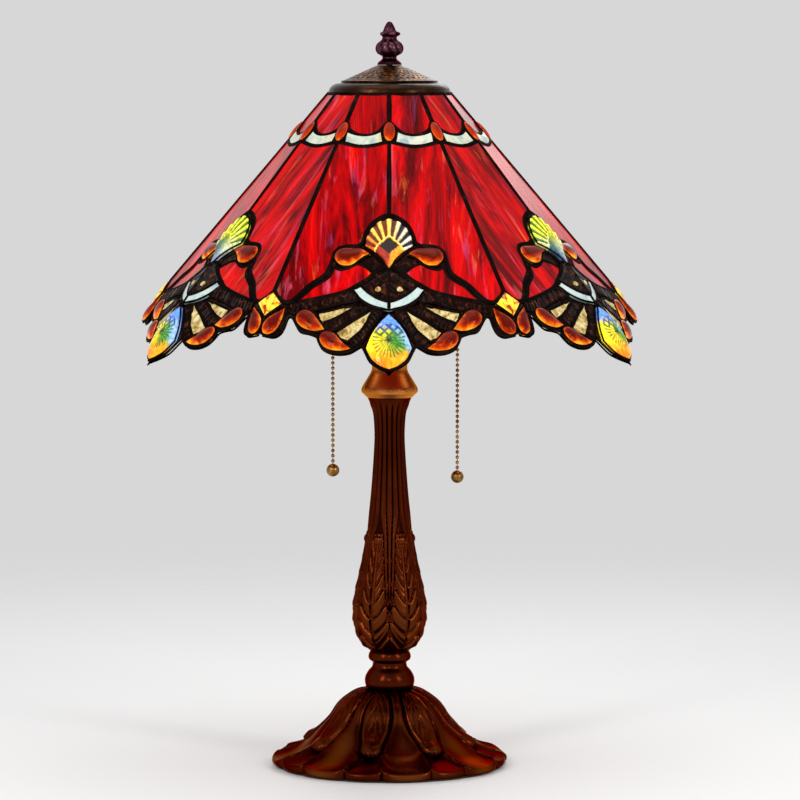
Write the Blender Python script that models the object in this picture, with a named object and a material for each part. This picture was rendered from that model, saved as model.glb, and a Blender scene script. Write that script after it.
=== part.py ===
# Leaded-glass table lamp: cast foot and column, two pull-chain lampholders, twelve-sided glass shade.
# Metres, +Z up. The origin is at the centre of the felt pad's underside, where the lamp stands.
import math

import bmesh
import bpy
from mathutils import Matrix, Vector

GAP = 0.0003                      # clearance between neighbouring pieces

# Shade: twelve flat panels between straight seams. Six seams carry border motifs, six carry diamonds.
PANEL_COUNT = 12
HALF_PANEL = math.pi / PANEL_COUNT
SHADE_TOP_Z = 0.5430
SEAM_TOP_R = 0.0490               # seam radius at the top edge
CREASE_Z = 0.3850                 # the border skirt starts here and is steeper
CONE_SLOPE = 0.845                # radius gained for each metre down
SKIRT_SLOPE = 0.685
GLASS_THICKNESS = 0.0028
LEADING_THICKNESS = 0.0020
LEAD_WIDTH = 0.0034

# Stem, from the foot up
FOOT_TOP_Z = 0.0610
COLUMN_BOTTOM_Z = 0.0930
COLUMN_TOP_Z = 0.2980
COLUMN_WALL = 0.0042
COLLAR_TOP_Z = 0.3340
PIPE_R = 0.0049
PIPE_BORE_R = 0.0034
STEM_BORE_R = 0.0053
ROD_R = 0.0027
FELT_THICKNESS = 0.0012

# Lampholders: two, tilted up and out from the cluster
HOLDER_TILT = math.radians(30)
CLUSTER_Z = 0.3520
HOLDER_START = 0.0205             # along the holder's axis from the cluster's centre
GUIDE_REACH = 0.0463              # the chain guide's place along the same axis
GUIDE_TWIST = {"left": math.radians(69), "right": 0.0}
CHAIN_R = 0.0012
BALL_R = 0.0052
BALL_Z = {"left": 0.2420, "right": 0.2340}


def clear_scene():
    for thing in list(bpy.data.objects):
        bpy.data.objects.remove(thing, do_unlink=True)


def make_material(name, colour, roughness, metallic=0.0, alpha=1.0):
    material = bpy.data.materials.new(name)
    material.use_nodes = True
    shader = material.node_tree.nodes["Principled BSDF"]
    shader.inputs["Base Color"].default_value = (*colour, 1.0)
    shader.inputs["Roughness"].default_value = roughness
    shader.inputs["Metallic"].default_value = metallic
    shader.inputs["Alpha"].default_value = alpha
    return material


def make_object(name, mesh_builder, material, smooth_angle=35):
    bmesh.ops.remove_doubles(mesh_builder, verts=mesh_builder.verts, dist=1e-6)
    bmesh.ops.recalc_face_normals(mesh_builder, faces=mesh_builder.faces)
    mesh = bpy.data.meshes.new(name)
    mesh_builder.to_mesh(mesh)
    mesh_builder.free()
    mesh.materials.append(material)
    mesh.shade_smooth()
    mesh.set_sharp_from_angle(angle=math.radians(smooth_angle))
    item = bpy.data.objects.new(name, mesh)
    bpy.context.scene.collection.objects.link(item)
    return item


def make_cutter(name, mesh_builder, material):
    cutter = make_object(name, mesh_builder, material)
    cutter.hide_render = True
    cutter.display_type = "WIRE"
    return cutter


def add_boolean(item, other, operation):
    modifier = item.modifiers.new(operation.title(), "BOOLEAN")
    modifier.operation = operation
    modifier.object = other
    modifier.solver = "EXACT"


def spin_profile(profile, segments, closed):
    # profile: (radius, height) points; closed ones go right round a bore
    builder = bmesh.new()
    verts = [builder.verts.new((radius, 0.0, height)) for radius, height in profile]
    edges = [builder.edges.new(pair) for pair in zip(verts, verts[1:])]
    if closed:
        edges.append(builder.edges.new((verts[-1], verts[0])))
    bmesh.ops.spin(builder, geom=verts + edges, cent=(0, 0, 0), axis=(0, 0, 1),
                   angle=math.tau, steps=segments, use_merge=True)
    return builder


def turned(name, profile, material, segments=24, closed=False):
    return make_object(name, spin_profile(profile, segments, closed), material)


def ring_profile(inner_r, outer_r, low_z, high_z):
    return [(inner_r, high_z), (outer_r, high_z), (outer_r, low_z), (inner_r, low_z)]


def circle_points(radius, count, start=0.0):
    return [(radius * math.cos(start + math.tau * i / count), radius * math.sin(start + math.tau * i / count))
            for i in range(count)]


def filled_outline(loops):
    # The first loop is the outer edge and the rest are holes, all in the XY plane
    builder = bmesh.new()
    edges = []
    for loop in loops:
        verts = [builder.verts.new((x, y, 0.0)) for x, y in loop]
        edges += [builder.edges.new((verts[i - 1], verts[i])) for i in range(len(verts))]
    bmesh.ops.triangle_fill(builder, edges=edges, use_beauty=True, normal=(0, 0, 1))
    return builder


def extrude_up(builder, height):
    grown = bmesh.ops.extrude_face_region(builder, geom=builder.faces[:])
    verts = [item for item in grown["geom"] if isinstance(item, bmesh.types.BMVert)]
    bmesh.ops.translate(builder, verts=verts, vec=(0, 0, height))


# ---------------------------------------------------------------- foot, column and collar

GORE_COUNT = 8
GORE_START = math.radians(-81)    # centre of the first smooth gore
SMOOTH_HALF = math.radians(12.75)
LEAF_HALF = math.radians(9.75)
FOOT_OUTER = [(STEM_BORE_R, FOOT_TOP_Z), (0.0155, FOOT_TOP_Z), (0.0297, 0.0570), (0.0400, 0.0490),
              (0.0480, 0.0370), (0.0590, 0.0270), (0.0710, 0.0205), (0.0830, 0.0156), (0.0915, 0.0115),
              (0.0949, 0.0080), (0.0955, 0.0045), (0.0945, 0.0015)]
FOOT_INNER = [(0.0890, 0.0015), (0.0850, 0.0070), (0.0520, 0.0240), (0.0400, 0.0360), (0.0200, 0.0530),
              (STEM_BORE_R, 0.0530)]
SCALLOP_DEPTH = 0.0030


def gore_offset(angle):
    # 0 at the middle of a gore, 1 at the groove between two gores
    turn = (angle - GORE_START) % (math.tau / GORE_COUNT)
    turn = min(turn, math.tau / GORE_COUNT - turn)
    if turn < SMOOTH_HALF:
        return turn / SMOOTH_HALF
    return (SMOOTH_HALF + LEAF_HALF - turn) / LEAF_HALF


def make_foot(bronze):
    builder = spin_profile(FOOT_OUTER + FOOT_INNER, 48, True)
    bmesh.ops.remove_doubles(builder, verts=builder.verts, dist=1e-6)
    for vert in builder.verts:
        radius = math.hypot(vert.co.x, vert.co.y)
        if radius < 0.030:
            continue
        fade = (radius - 0.030) / 0.065
        depth = SCALLOP_DEPTH * fade * gore_offset(math.atan2(vert.co.y, vert.co.x)) ** 3
        vert.co.x *= 1 - depth / radius
        vert.co.y *= 1 - depth / radius
    foot = make_object("foot_casting", builder, bronze)
    hole = spin_profile([(0, 0.1100), (0.0034, 0.1100), (0.0034, 0.0740), (0, 0.0740)], 12, False)
    bmesh.ops.rotate(hole, verts=hole.verts, matrix=Matrix.Rotation(math.radians(-90), 3, "X"))
    bmesh.ops.translate(hole, verts=hole.verts, vec=(0, 0, 0.0072))
    add_boolean(foot, make_cutter("bushing_hole", hole, bronze), "DIFFERENCE")


def make_bushing(black):
    profile = [(0.0022, 0.0965), (0.0046, 0.0965), (0.0046, 0.0959), (0.0031, 0.0959), (0.0031, 0.0800),
               (0.0022, 0.0800)]
    bushing = turned("cord_bushing", profile, black, 12, True)
    bushing.rotation_euler = (math.radians(-90), 0, 0)
    bushing.location = (0, 0, 0.0072)


COLUMN_PROFILE = [(0.0160, COLUMN_BOTTOM_Z), (0.0247, 0.1040), (0.0287, 0.1140), (0.0301, 0.1245),
                  (0.0292, 0.1365), (0.0241, 0.1610), (0.0193, 0.1870), (0.0160, 0.2100), (0.0142, 0.2320),
                  (0.0122, 0.2600), (0.0121, 0.2730), (0.0131, 0.2860), (0.0165, 0.2945),
                  (0.0177, COLUMN_TOP_Z)]
KNOP_PROFILE = [(0.0150, 0.0613), (0.0174, 0.0622), (0.0198, 0.0665), (0.0199, 0.0710), (0.0172, 0.0765),
                (0.0139, 0.0805), (0.0139, 0.0840), (0.0169, 0.0862), (0.0171, 0.0895), (0.0155, 0.0927)]
COLLAR_PROFILE = [(0.0172, 0.2983), (0.0195, 0.2995), (0.0227, 0.3035), (0.0222, 0.3085), (0.0185, 0.3140),
                  (0.0148, 0.3195), (0.0144, 0.3225), (0.0160, 0.3275), (0.0186, 0.3308),
                  (0.0186, COLLAR_TOP_Z)]


def stacked(name, profile, material, segments, cavity=()):
    # A hollow turned piece threaded on the stem pipe
    bore = [(STEM_BORE_R, profile[-1][1]), *cavity, (STEM_BORE_R, profile[0][1])]
    return turned(name, profile + bore, material, segments, True)


def column_cavity():
    # The casting is a shell between two solid ends, and its cavity opens into the bore
    inside = [(radius - COLUMN_WALL, height) for radius, height in COLUMN_PROFILE[1:-4]]
    return [(STEM_BORE_R, inside[-1][1] + 0.0040), *inside[::-1], (STEM_BORE_R, inside[0][1] - 0.0040)]


def make_stem(bronze, copper, steel, brass):
    stacked("lower_knop", KNOP_PROFILE, bronze, 20)
    stacked("column", COLUMN_PROFILE, bronze, 20, column_cavity())
    stacked("neck_collar", COLLAR_PROFILE, copper, 20)
    turned("stem_pipe", ring_profile(PIPE_BORE_R, PIPE_R, 0.0400, 0.3480), steel, 16, True)
    flanged = [(0.0062, 0.0527), (0.0135, 0.0527), (0.0135, 0.0510), (0.0095, 0.0504), (0.0095, 0.0440),
               (0.0062, 0.0440)]
    turned("foot_nut", flanged, brass, 6, True)
    turned("felt_pad", [(0, FELT_THICKNESS), (0.0910, FELT_THICKNESS), (0.0910, 0), (0, 0)],
           make_material("felt", (0.03, 0.035, 0.03), 0.95), 48)


# ---------------------------------------------------------------- cluster, lampholders and bulbs

def holder_axis(side):
    sign = 1 if side == "right" else -1
    return Vector((sign * math.cos(HOLDER_TILT), 0, math.sin(HOLDER_TILT)))


def place_on_holder(item, side):
    # Pieces are modelled along +Z from the cluster's centre, then tipped onto the holder's axis
    sign = 1 if side == "right" else -1
    item.rotation_euler = (0, sign * (math.pi / 2 - HOLDER_TILT), 0)
    item.location = (0, 0, CLUSTER_Z)


def guide_direction(side):
    sign = 1 if side == "right" else -1
    twist = GUIDE_TWIST[side]
    down = Vector((sign * math.sin(HOLDER_TILT), 0, -math.cos(HOLDER_TILT)))
    return down * math.cos(twist) + Vector((0, -1, 0)) * math.sin(twist)


def make_cluster(brass):
    profile = [(0, 0.3680), (0.0070, 0.3680), (0.0095, 0.3660), (0.0110, 0.3600), (0.0110, 0.3440),
               (0.0085, 0.3400), (0.0095, 0.3365), (0, 0.3365)]
    cluster = turned("cluster_body", profile, brass, 20)
    for side in ("left", "right"):
        arm = spin_profile([(0, 0.0202), (0.0058, 0.0202), (0.0058, 0.0), (0, 0.0)], 16, False)
        cutter = make_cutter("cluster_arm_" + side, arm, brass)
        place_on_holder(cutter, side)
        add_boolean(cluster, cutter, "UNION")
    bores = {"pipe_seat": (0.0053, 0.3300, 0.3490), "rod_seat": (0.0030, 0.3560, 0.3800)}
    for name, (radius, low, high) in bores.items():
        bore = spin_profile([(0, high), (radius, high), (radius, low), (0, low)], 16, False)
        add_boolean(cluster, make_cutter(name, bore, brass), "DIFFERENCE")


HOLDER_OUTER = [(0.0060, 0.0000), (0.0085, 0.0000), (0.0150, 0.0070), (0.0172, 0.0120), (0.0172, 0.0400),
                (0.0180, 0.0420)]
HOLDER_INNER = [(0.0168, 0.0420), (0.0163, 0.0400), (0.0163, 0.0130), (0.0060, 0.0060)]
CORE_PROFILE = [(0.0040, 0.0145), (0.0159, 0.0145), (0.0159, 0.0400), (0.0140, 0.0400), (0.0140, 0.0180),
                (0.0040, 0.0180)]
BULB_BASE_PROFILE = [(0, 0.0620), (0.0128, 0.0620), (0.0133, 0.0600), (0.0133, 0.0430), (0.0100, 0.0400),
                     (0.0045, 0.0392), (0, 0.0392)]
BULB_LENGTH = 0.0760
BULB_R = 0.0270


def bulb_profile():
    # A neck that swells into a round head, from the screw base outward
    start = 0.0623
    head = start + BULB_LENGTH - BULB_R
    points = [(0, start), (0.0126, start), (0.0133, start + 0.0080), (0.0165, start + 0.0200)]
    for step in range(7):
        angle = math.radians(-38 + step * (128 / 6))
        points.append((BULB_R * math.cos(angle), head + BULB_R * math.sin(angle)))
    points[-1] = (0, head + BULB_R)
    return points


GUIDE_PROFILE = [(0.0019, 0.0166), (0.0036, 0.0166), (0.0030, 0.0205), (0.0034, 0.0230), (0.0052, 0.0260),
                 (0.0046, 0.0260), (0.0026, 0.0228), (0.0019, 0.0205)]


def guide_root(side):
    return Vector((0, 0, CLUSTER_Z)) + holder_axis(side) * GUIDE_REACH


def make_holder(side, brass, phenolic, screw_metal, bulb_glass):
    shift = HOLDER_START
    outer = [(radius, height + shift) for radius, height in HOLDER_OUTER + HOLDER_INNER]
    shell = turned("holder_shell_" + side, outer, brass, 20, True)
    place_on_holder(shell, side)
    guide = make_cutter("chain_guide_" + side, spin_profile(GUIDE_PROFILE, 12, True), brass)
    guide.rotation_euler = guide_direction(side).to_track_quat("Z", "Y").to_euler()
    guide.location = guide_root(side)
    add_boolean(shell, guide, "UNION")
    core = [(radius, height + shift) for radius, height in CORE_PROFILE]
    place_on_holder(turned("holder_core_" + side, core, phenolic, 20, True), side)
    place_on_holder(turned("bulb_base_" + side, BULB_BASE_PROFILE, screw_metal, 20), side)
    place_on_holder(turned("bulb_glass_" + side, bulb_profile(), bulb_glass, 20), side)


CHAIN_TOP_LENGTH = 0.0110         # the stretch that runs in the guide and only slides
CHAIN_TIP = 0.0010                # its pointed end, which leaves room for the hanging stretch to swing


def make_chain(side, brass):
    # Both stretches have their origin at the top, where the hanging stretch swings
    mouth = guide_root(side) + guide_direction(side) * 0.0290
    tapered = [(0, 0), (CHAIN_R, 0), (CHAIN_R, CHAIN_TIP - CHAIN_TOP_LENGTH), (0, -CHAIN_TOP_LENGTH)]
    top = turned("chain_top_" + side, tapered, brass, 8)
    top.location = mouth
    swing_z = mouth.z - CHAIN_TOP_LENGTH - GAP
    drop = BALL_Z[side] + BALL_R + GAP - swing_z
    chain = turned("chain_" + side, [(0, 0), (CHAIN_R, 0), (CHAIN_R, drop), (0, drop)], brass, 8)
    chain.location = (mouth.x, mouth.y, swing_z)
    steps = 8
    arc = [(BALL_R * math.sin(math.pi * i / steps), BALL_R * math.cos(math.pi * i / steps))
           for i in range(steps + 1)]
    arc[0] = (0, BALL_R)
    arc[-1] = (0, -BALL_R)
    ball = turned("chain_ball_" + side, arc, brass, 16)
    ball.location = (mouth.x, mouth.y, BALL_Z[side])


# ---------------------------------------------------------------- riser, cap and finial

def make_riser(brass, steel):
    turned("riser_rod", [(0, 0.5820), (ROD_R, 0.5820), (ROD_R, 0.3565), (0, 0.3565)], steel, 12)
    seat = [(0.0031, 0.5388), (0.0120, 0.5388), (0.0120, 0.5352), (0.0072, 0.5345), (0.0072, 0.5290),
            (0.0031, 0.5290)]
    turned("shade_seat", seat, brass, 18, True)


def make_spider(brass):
    # Ring, hub and three spokes in one flat plate: an outer circle with a bore and three windows
    windows = []
    for index in range(3):
        middle = math.tau * index / 3 + math.pi / 6
        sweep = math.radians(54)
        outer_arc = [(0.0390, middle - sweep + 2 * sweep * i / 8) for i in range(9)]
        inner_arc = [(0.0100, middle + sweep * 0.80 - 1.60 * sweep * i / 4) for i in range(5)]
        windows.append([(r * math.cos(a), r * math.sin(a)) for r, a in outer_arc + inner_arc])
    loops = [circle_points(0.0426, 36), circle_points(0.0032, 12)] + windows
    builder = filled_outline(loops)
    extrude_up(builder, 0.0028)
    make_object("shade_spider", builder, brass).location = (0, 0, 0.5392)


CAP_OUTER = [(0.0032, 0.5650), (0.0098, 0.5650), (0.0374, 0.5522), (0.0400, 0.5503), (0.0455, 0.5475),
             (0.0490, 0.5434)]
CAP_WALL = 0.0013
VENT_COUNT = 12


def make_cap(antique):
    inner = [(max(radius - CAP_WALL * 0.5, 0.0032), height - CAP_WALL) for radius, height in CAP_OUTER]
    inner[-1] = (0.0475, 0.5434)
    cap = turned("heat_cap", CAP_OUTER + inner[::-1], antique, 30, True)
    vents = bmesh.new()
    for index in range(VENT_COUNT):
        angle = math.tau * index / VENT_COUNT
        place = Matrix.Translation((0.0235 * math.cos(angle), 0.0235 * math.sin(angle), 0.5580))
        bmesh.ops.create_cone(vents, cap_ends=True, segments=6, radius1=0.0022, radius2=0.0022, depth=0.0120,
                              matrix=place)
    add_boolean(cap, make_cutter("cap_vents", vents, antique), "DIFFERENCE")


def make_finial(plum):
    profile = [(0.0030, 0.5653), (0.0096, 0.5653), (0.0092, 0.5672), (0.0062, 0.5700), (0.0061, 0.5722),
               (0.0090, 0.5748), (0.0105, 0.5782), (0.0094, 0.5820), (0.0062, 0.5850), (0.0064, 0.5872),
               (0.0079, 0.5895), (0.0076, 0.5908), (0.0058, 0.5922), (0.0030, 0.5965), (0, 0.6000)]
    bore = [(0, 0.5830), (0.0030, 0.5830)]
    turned("finial", bore + profile, plum, 16)


# ---------------------------------------------------------------- shade

def seam_radius(height):
    if height >= CREASE_Z:
        return SEAM_TOP_R + CONE_SLOPE * (SHADE_TOP_Z - height)
    crease_r = SEAM_TOP_R + CONE_SLOPE * (SHADE_TOP_Z - CREASE_Z)
    return crease_r + SKIRT_SLOPE * (CREASE_Z - height)


def panel_width(height):
    return 2 * seam_radius(height) * math.sin(HALF_PANEL)


def outward_normal(height, turn):
    slope = CONE_SLOPE if height >= CREASE_Z else SKIRT_SLOPE
    return Vector((math.cos(turn), math.sin(turn), slope * math.cos(HALF_PANEL))).normalized()


def panel_point(across, height, panel):
    # across: distance along the flat panel from its motif seam; even panels run one way, odd the other
    seam_turn = math.radians(-90) + 2 * HALF_PANEL * (panel + panel % 2)
    middle_turn = math.radians(-90) + HALF_PANEL * (2 * panel + 1)
    direction = 1 if panel % 2 == 0 else -1
    corner = Vector((math.cos(seam_turn), math.sin(seam_turn), 0)) * seam_radius(height)
    along = Vector((-math.sin(middle_turn), math.cos(middle_turn), 0)) * direction
    return corner + along * across + Vector((0, 0, height)), middle_turn


def rows(points):
    return [(x / 1000, z / 1000) for x, z in points]


# The border's upper edge from the motif seam to the diamond seam, and the scalloped lower edge back again,
# in millimetres: distance along the panel from the motif seam, and height
BORDER_TOP = [(0, 449.6), (8, 448), (15.5, 441), (19.5, 433), (22.4, 427.5), (32.4, 427), (41.6, 423),
              (45, 417), (47, 411.7), (50, 405.7), (58, 400.8), (68.2, 393.5), (76, 386.5), (83.5, 385.5)]
DIAMOND_TOP_Z = 0.3925
BORDER_BOTTOM = [(8, 336), (16, 344), (21.5, 352.5), (30, 348), (40, 345.7), (49, 347), (55, 352.5), (58.5, 359),
                 (72.5, 364.5), (77, 372.5), (81, 371.5), (84.5, 364.5), (91, 358.6)]
MOTIF_TIP_Z = 0.3320
DIAMOND_TIP_Z = 0.3585
CROWN_BOTTOM = [(6, 0.5175), (12.5, 0.5130), (19.5, 0.5115), (27, 0.5135), (31, 0.5175)]
MAIN_TOP = [(8, 0.5045), (14, 0.5020), (21.5, 0.5009), (30, 0.5020), (35, 0.5045)]


def border_outline():
    top = [(x, z) for x, z in rows(BORDER_TOP)] + [(panel_width(DIAMOND_TOP_Z), DIAMOND_TOP_Z)]
    bottom = [(0.0, MOTIF_TIP_Z)] + rows(BORDER_BOTTOM) + [(panel_width(DIAMOND_TIP_Z), DIAMOND_TIP_Z)]
    return top, bottom


def inset_x(x, height, margin):
    return min(max(x, margin), panel_width(height) - margin)


def map_to_panel(builder, panel):
    # Cut the flat layout at the crease and place it in the panel's plane
    bmesh.ops.bisect_plane(builder, geom=builder.verts[:] + builder.edges[:] + builder.faces[:],
                           dist=1e-7, plane_co=(0, CREASE_Z, 0), plane_no=(0, 1, 0))
    for vert in builder.verts:
        vert.co, _ = panel_point(vert.co.x, vert.co.y, panel)
    if panel % 2:
        bmesh.ops.reverse_faces(builder, faces=builder.faces)


def add_panel_mesh(builder, flat, panel):
    map_to_panel(flat, panel)
    scratch = bpy.data.meshes.new("panel")
    flat.to_mesh(scratch)
    flat.free()
    builder.from_mesh(scratch)
    bpy.data.meshes.remove(scratch)


def make_pane(name, outline, panel, glass):
    builder = filled_outline([outline])
    grown = bmesh.ops.extrude_face_region(builder, geom=builder.faces[:])
    top = {item for item in grown["geom"] if isinstance(item, bmesh.types.BMVert)}
    for vert in builder.verts:
        place, turn = panel_point(vert.co.x, vert.co.y, panel)
        lift = -0.0002 if vert in top else -GLASS_THICKNESS
        vert.co = place + outward_normal(vert.co.y, turn) * lift
    return make_object(name, builder, glass, 20)


def crown_outline(margin):
    top_z = SHADE_TOP_Z - 0.0003
    low_z = 0.5215
    bottom = [(inset_x(x / 1000, z, margin), z - 0.0010) for x, z in CROWN_BOTTOM]
    return [(margin, top_z), (margin, low_z)] + bottom + [(panel_width(low_z) - margin, low_z),
                                                          (panel_width(top_z) - margin, top_z)]


def main_outline(margin):
    top, _ = border_outline()
    rise = 0.0006
    bottom = [(max(x, margin), z + rise) for x, z in top[1:-2]]
    end_z = DIAMOND_TOP_Z + rise
    upper = [(inset_x(x / 1000, z, margin), z) for x, z in MAIN_TOP]
    side = [(panel_width(end_z) - margin, end_z), (panel_width(0.5100) - margin, 0.5100)]
    return bottom + [(0.0835, 0.3865)] + side + upper[::-1] + [(margin, 0.5100), (margin, 0.4502)]


def make_panes(red):
    for panel in range(PANEL_COUNT):
        make_pane("crown_pane_%02d" % (panel + 1), crown_outline(0.0012), panel, red)
        make_pane("main_pane_%02d" % (panel + 1), main_outline(0.0012), panel, red)


def thicken(item, thickness, side):
    # side 1 grows outward and -1 inward; a little over 1 leaves the clearance to the layer on the other side
    solid = item.modifiers.new("Thickness", "SOLIDIFY")
    solid.thickness = thickness
    solid.offset = side * (1 + 2 * GAP / thickness)
    solid.use_even_offset = True


def make_borders(amber):
    # One motif spans two panels, either side of its seam
    for index in range(PANEL_COUNT // 2):
        builder = bmesh.new()
        for side in (2 * index, (2 * index - 1) % PANEL_COUNT):
            top, bottom = border_outline()
            margin = 0.0008
            edge = [(min(x, panel_width(z) - margin), z - 0.0003) for x, z in top[::-1]]
            half = filled_outline([edge + [(min(x, panel_width(z) - margin), z) for x, z in bottom]])
            add_panel_mesh(builder, half, side)
        motif = make_object("border_motif_%d" % (index + 1), builder, amber, 20)
        thicken(motif, GLASS_THICKNESS, -1)


def leading_holes():
    lead = LEAD_WIDTH / 2
    width_at = panel_width
    crown = [(lead, 0.5385), (lead, 0.5215)] + [(inset_x(x / 1000, z, lead), z) for x, z in CROWN_BOTTOM]
    crown += [(width_at(0.5215) - lead, 0.5215), (width_at(0.5385) - lead, 0.5385)]
    top = rows(BORDER_TOP)
    low = [(x, z + 0.0022) for x, z in top[1:-1]]
    main = [(lead, 0.4525)] + low + [(0.0840, 0.3885), (width_at(0.3960) - lead, 0.3960)]
    main += [(width_at(0.5050) - lead, 0.5050)]
    main += [(inset_x(x / 1000, z, lead), z - 0.0015) for x, z in MAIN_TOP[::-1]]
    bay = rows([(14.5, 406), (25, 412), (34, 409), (45, 408), (48, 403), (56, 398), (66, 391), (73, 385),
                (56, 388.5), (36, 393), (19, 401)])
    gem = rows([(2.0, 372), (8.5, 365), (14.5, 356), (16, 351), (12, 345.5), (6, 340.5), (2.0, 338)])
    return [crown, main, bay, gem]


def make_leading(lead):
    builder = bmesh.new()
    top_z = SHADE_TOP_Z - LEADING_THICKNESS
    for panel in range(PANEL_COUNT):
        _, bottom = border_outline()
        holes = leading_holes()
        seam_heights = [0.5215, 0.4525, 0.4200, CREASE_Z]
        motif_side = [(0.0, top_z)] + [(0.0, z) for z in seam_heights]
        diamond_side = [(panel_width(z), z) for z in seam_heights[::-1]] + [(panel_width(top_z), top_z)]
        sheet = filled_outline([motif_side + bottom + diamond_side] + holes)
        add_panel_mesh(builder, sheet, panel)
    net = make_object("shade_leading", builder, lead, 20)
    thicken(net, LEADING_THICKNESS, 1)


def make_inner_lead(rubber):
    # From just inside the bushing, across the foot's hollow and up the pipe into the cluster
    bend_r = 0.0300
    points = [(0, 0.0790 - 0.0098 * i, 0.0072) for i in range(6)]
    points += [(0, bend_r - bend_r * math.sin(a), 0.0072 + bend_r - bend_r * math.cos(a))
               for a in (math.radians(18 * i) for i in range(1, 6))]
    points += [(0, 0, 0.0372 + 0.0140 * i) for i in range(1, 23)]
    curve = bpy.data.curves.new("inner_lead", "CURVE")
    curve.dimensions = "3D"
    curve.bevel_depth = 0.0022
    curve.bevel_resolution = 2
    curve.use_fill_caps = True
    spline = curve.splines.new("POLY")
    spline.points.add(len(points) - 1)
    for slot, point in zip(spline.points, points):
        slot.co = (*point, 1)
    curve.materials.append(rubber)
    bpy.context.scene.collection.objects.link(bpy.data.objects.new("inner_lead", curve))


def main():
    clear_scene()
    bronze = make_material("bronze", (0.10, 0.028, 0.012), 0.34, 0.75)
    copper = make_material("copper", (0.42, 0.12, 0.03), 0.22, 0.9)
    antique = make_material("antique_bronze", (0.12, 0.05, 0.025), 0.42, 0.8)
    plum = make_material("plum_bronze", (0.07, 0.028, 0.035), 0.35, 0.6)
    brass = make_material("brass", (0.50, 0.33, 0.12), 0.32, 1.0)
    steel = make_material("steel", (0.45, 0.45, 0.45), 0.35, 1.0)
    lead = make_material("lead", (0.03, 0.02, 0.018), 0.45, 0.7)
    red = make_material("red_glass", (0.55, 0.01, 0.015), 0.12)
    amber = make_material("border_glass", (0.60, 0.22, 0.02), 0.12)
    black = make_material("black_plastic", (0.02, 0.02, 0.02), 0.5)
    phenolic = make_material("phenolic", (0.04, 0.03, 0.025), 0.45)
    bulb_glass = make_material("bulb_glass", (0.95, 0.92, 0.85), 0.25)
    make_foot(bronze)
    make_bushing(black)
    make_stem(bronze, copper, steel, brass)
    make_cluster(brass)
    for side in ("left", "right"):
        make_holder(side, brass, phenolic, steel, bulb_glass)
        make_chain(side, brass)
    make_riser(brass, steel)
    make_spider(brass)
    make_cap(antique)
    make_finial(plum)
    make_panes(red)
    make_borders(amber)
    make_leading(lead)
    make_inner_lead(black)


main()
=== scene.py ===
import math

import bmesh
import bpy
from mathutils import Matrix, Vector


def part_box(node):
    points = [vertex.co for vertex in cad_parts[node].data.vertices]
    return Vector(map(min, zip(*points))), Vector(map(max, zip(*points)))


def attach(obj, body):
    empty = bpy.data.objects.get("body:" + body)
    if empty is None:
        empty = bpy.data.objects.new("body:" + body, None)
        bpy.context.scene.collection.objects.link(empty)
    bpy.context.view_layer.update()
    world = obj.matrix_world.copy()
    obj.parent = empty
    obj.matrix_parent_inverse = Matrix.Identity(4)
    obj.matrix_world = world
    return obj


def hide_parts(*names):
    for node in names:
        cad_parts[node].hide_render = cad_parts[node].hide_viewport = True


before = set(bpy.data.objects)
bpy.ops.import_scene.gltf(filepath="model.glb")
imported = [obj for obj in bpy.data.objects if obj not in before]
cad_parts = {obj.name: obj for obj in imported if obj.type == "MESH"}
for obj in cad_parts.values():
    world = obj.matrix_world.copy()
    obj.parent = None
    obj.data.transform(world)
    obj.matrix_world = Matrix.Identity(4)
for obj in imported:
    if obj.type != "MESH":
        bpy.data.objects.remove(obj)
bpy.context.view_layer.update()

mm = 0.001
front = -math.pi / 2                 # the jewel that faces the viewer hangs at -Y


# camera, floor and light

cameraSettings = {"distance": 3.3156, "height": 0.5693, "aside": 0.0084, "pitch": 4.71, "lens": 185.8}


def makeCamera():
    data = bpy.data.cameras.new("camera")
    data.lens = cameraSettings["lens"]
    data.sensor_width = 36
    data.clip_end = 100
    camera = bpy.data.objects.new("camera", data)
    camera.location = (cameraSettings["aside"], -cameraSettings["distance"], cameraSettings["height"])
    camera.rotation_euler = (math.radians(90 - cameraSettings["pitch"]), 0, 0)
    bpy.context.scene.collection.objects.link(camera)
    bpy.context.scene.camera = camera
    bpy.context.scene.view_settings.view_transform = "Standard"


lightSettings = {"world": 0.68, "aim": (0, 0, 0.3), "floorRadius": 4.0, "fadeFrom": 0.35, "fadeTo": 1.6,
                 "lamps": [("keyLeft", (-1.5, -2.0, 1.5), 0.45, 1.5, 21),     # name, place, wide, tall, power
                           ("keyRight", (1.8, -1.6, 1.3), 0.40, 1.5, 17),
                           ("above", (0.1, -0.2, 2.4), 1.5, 1.5, 9),
                           ("behind", (0.4, 2.1, 1.6), 1.2, 1.4, 7),
                           ("frontStrip", (-0.15, -2.5, 1.25), 0.22, 0.7, 6)]}


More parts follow.
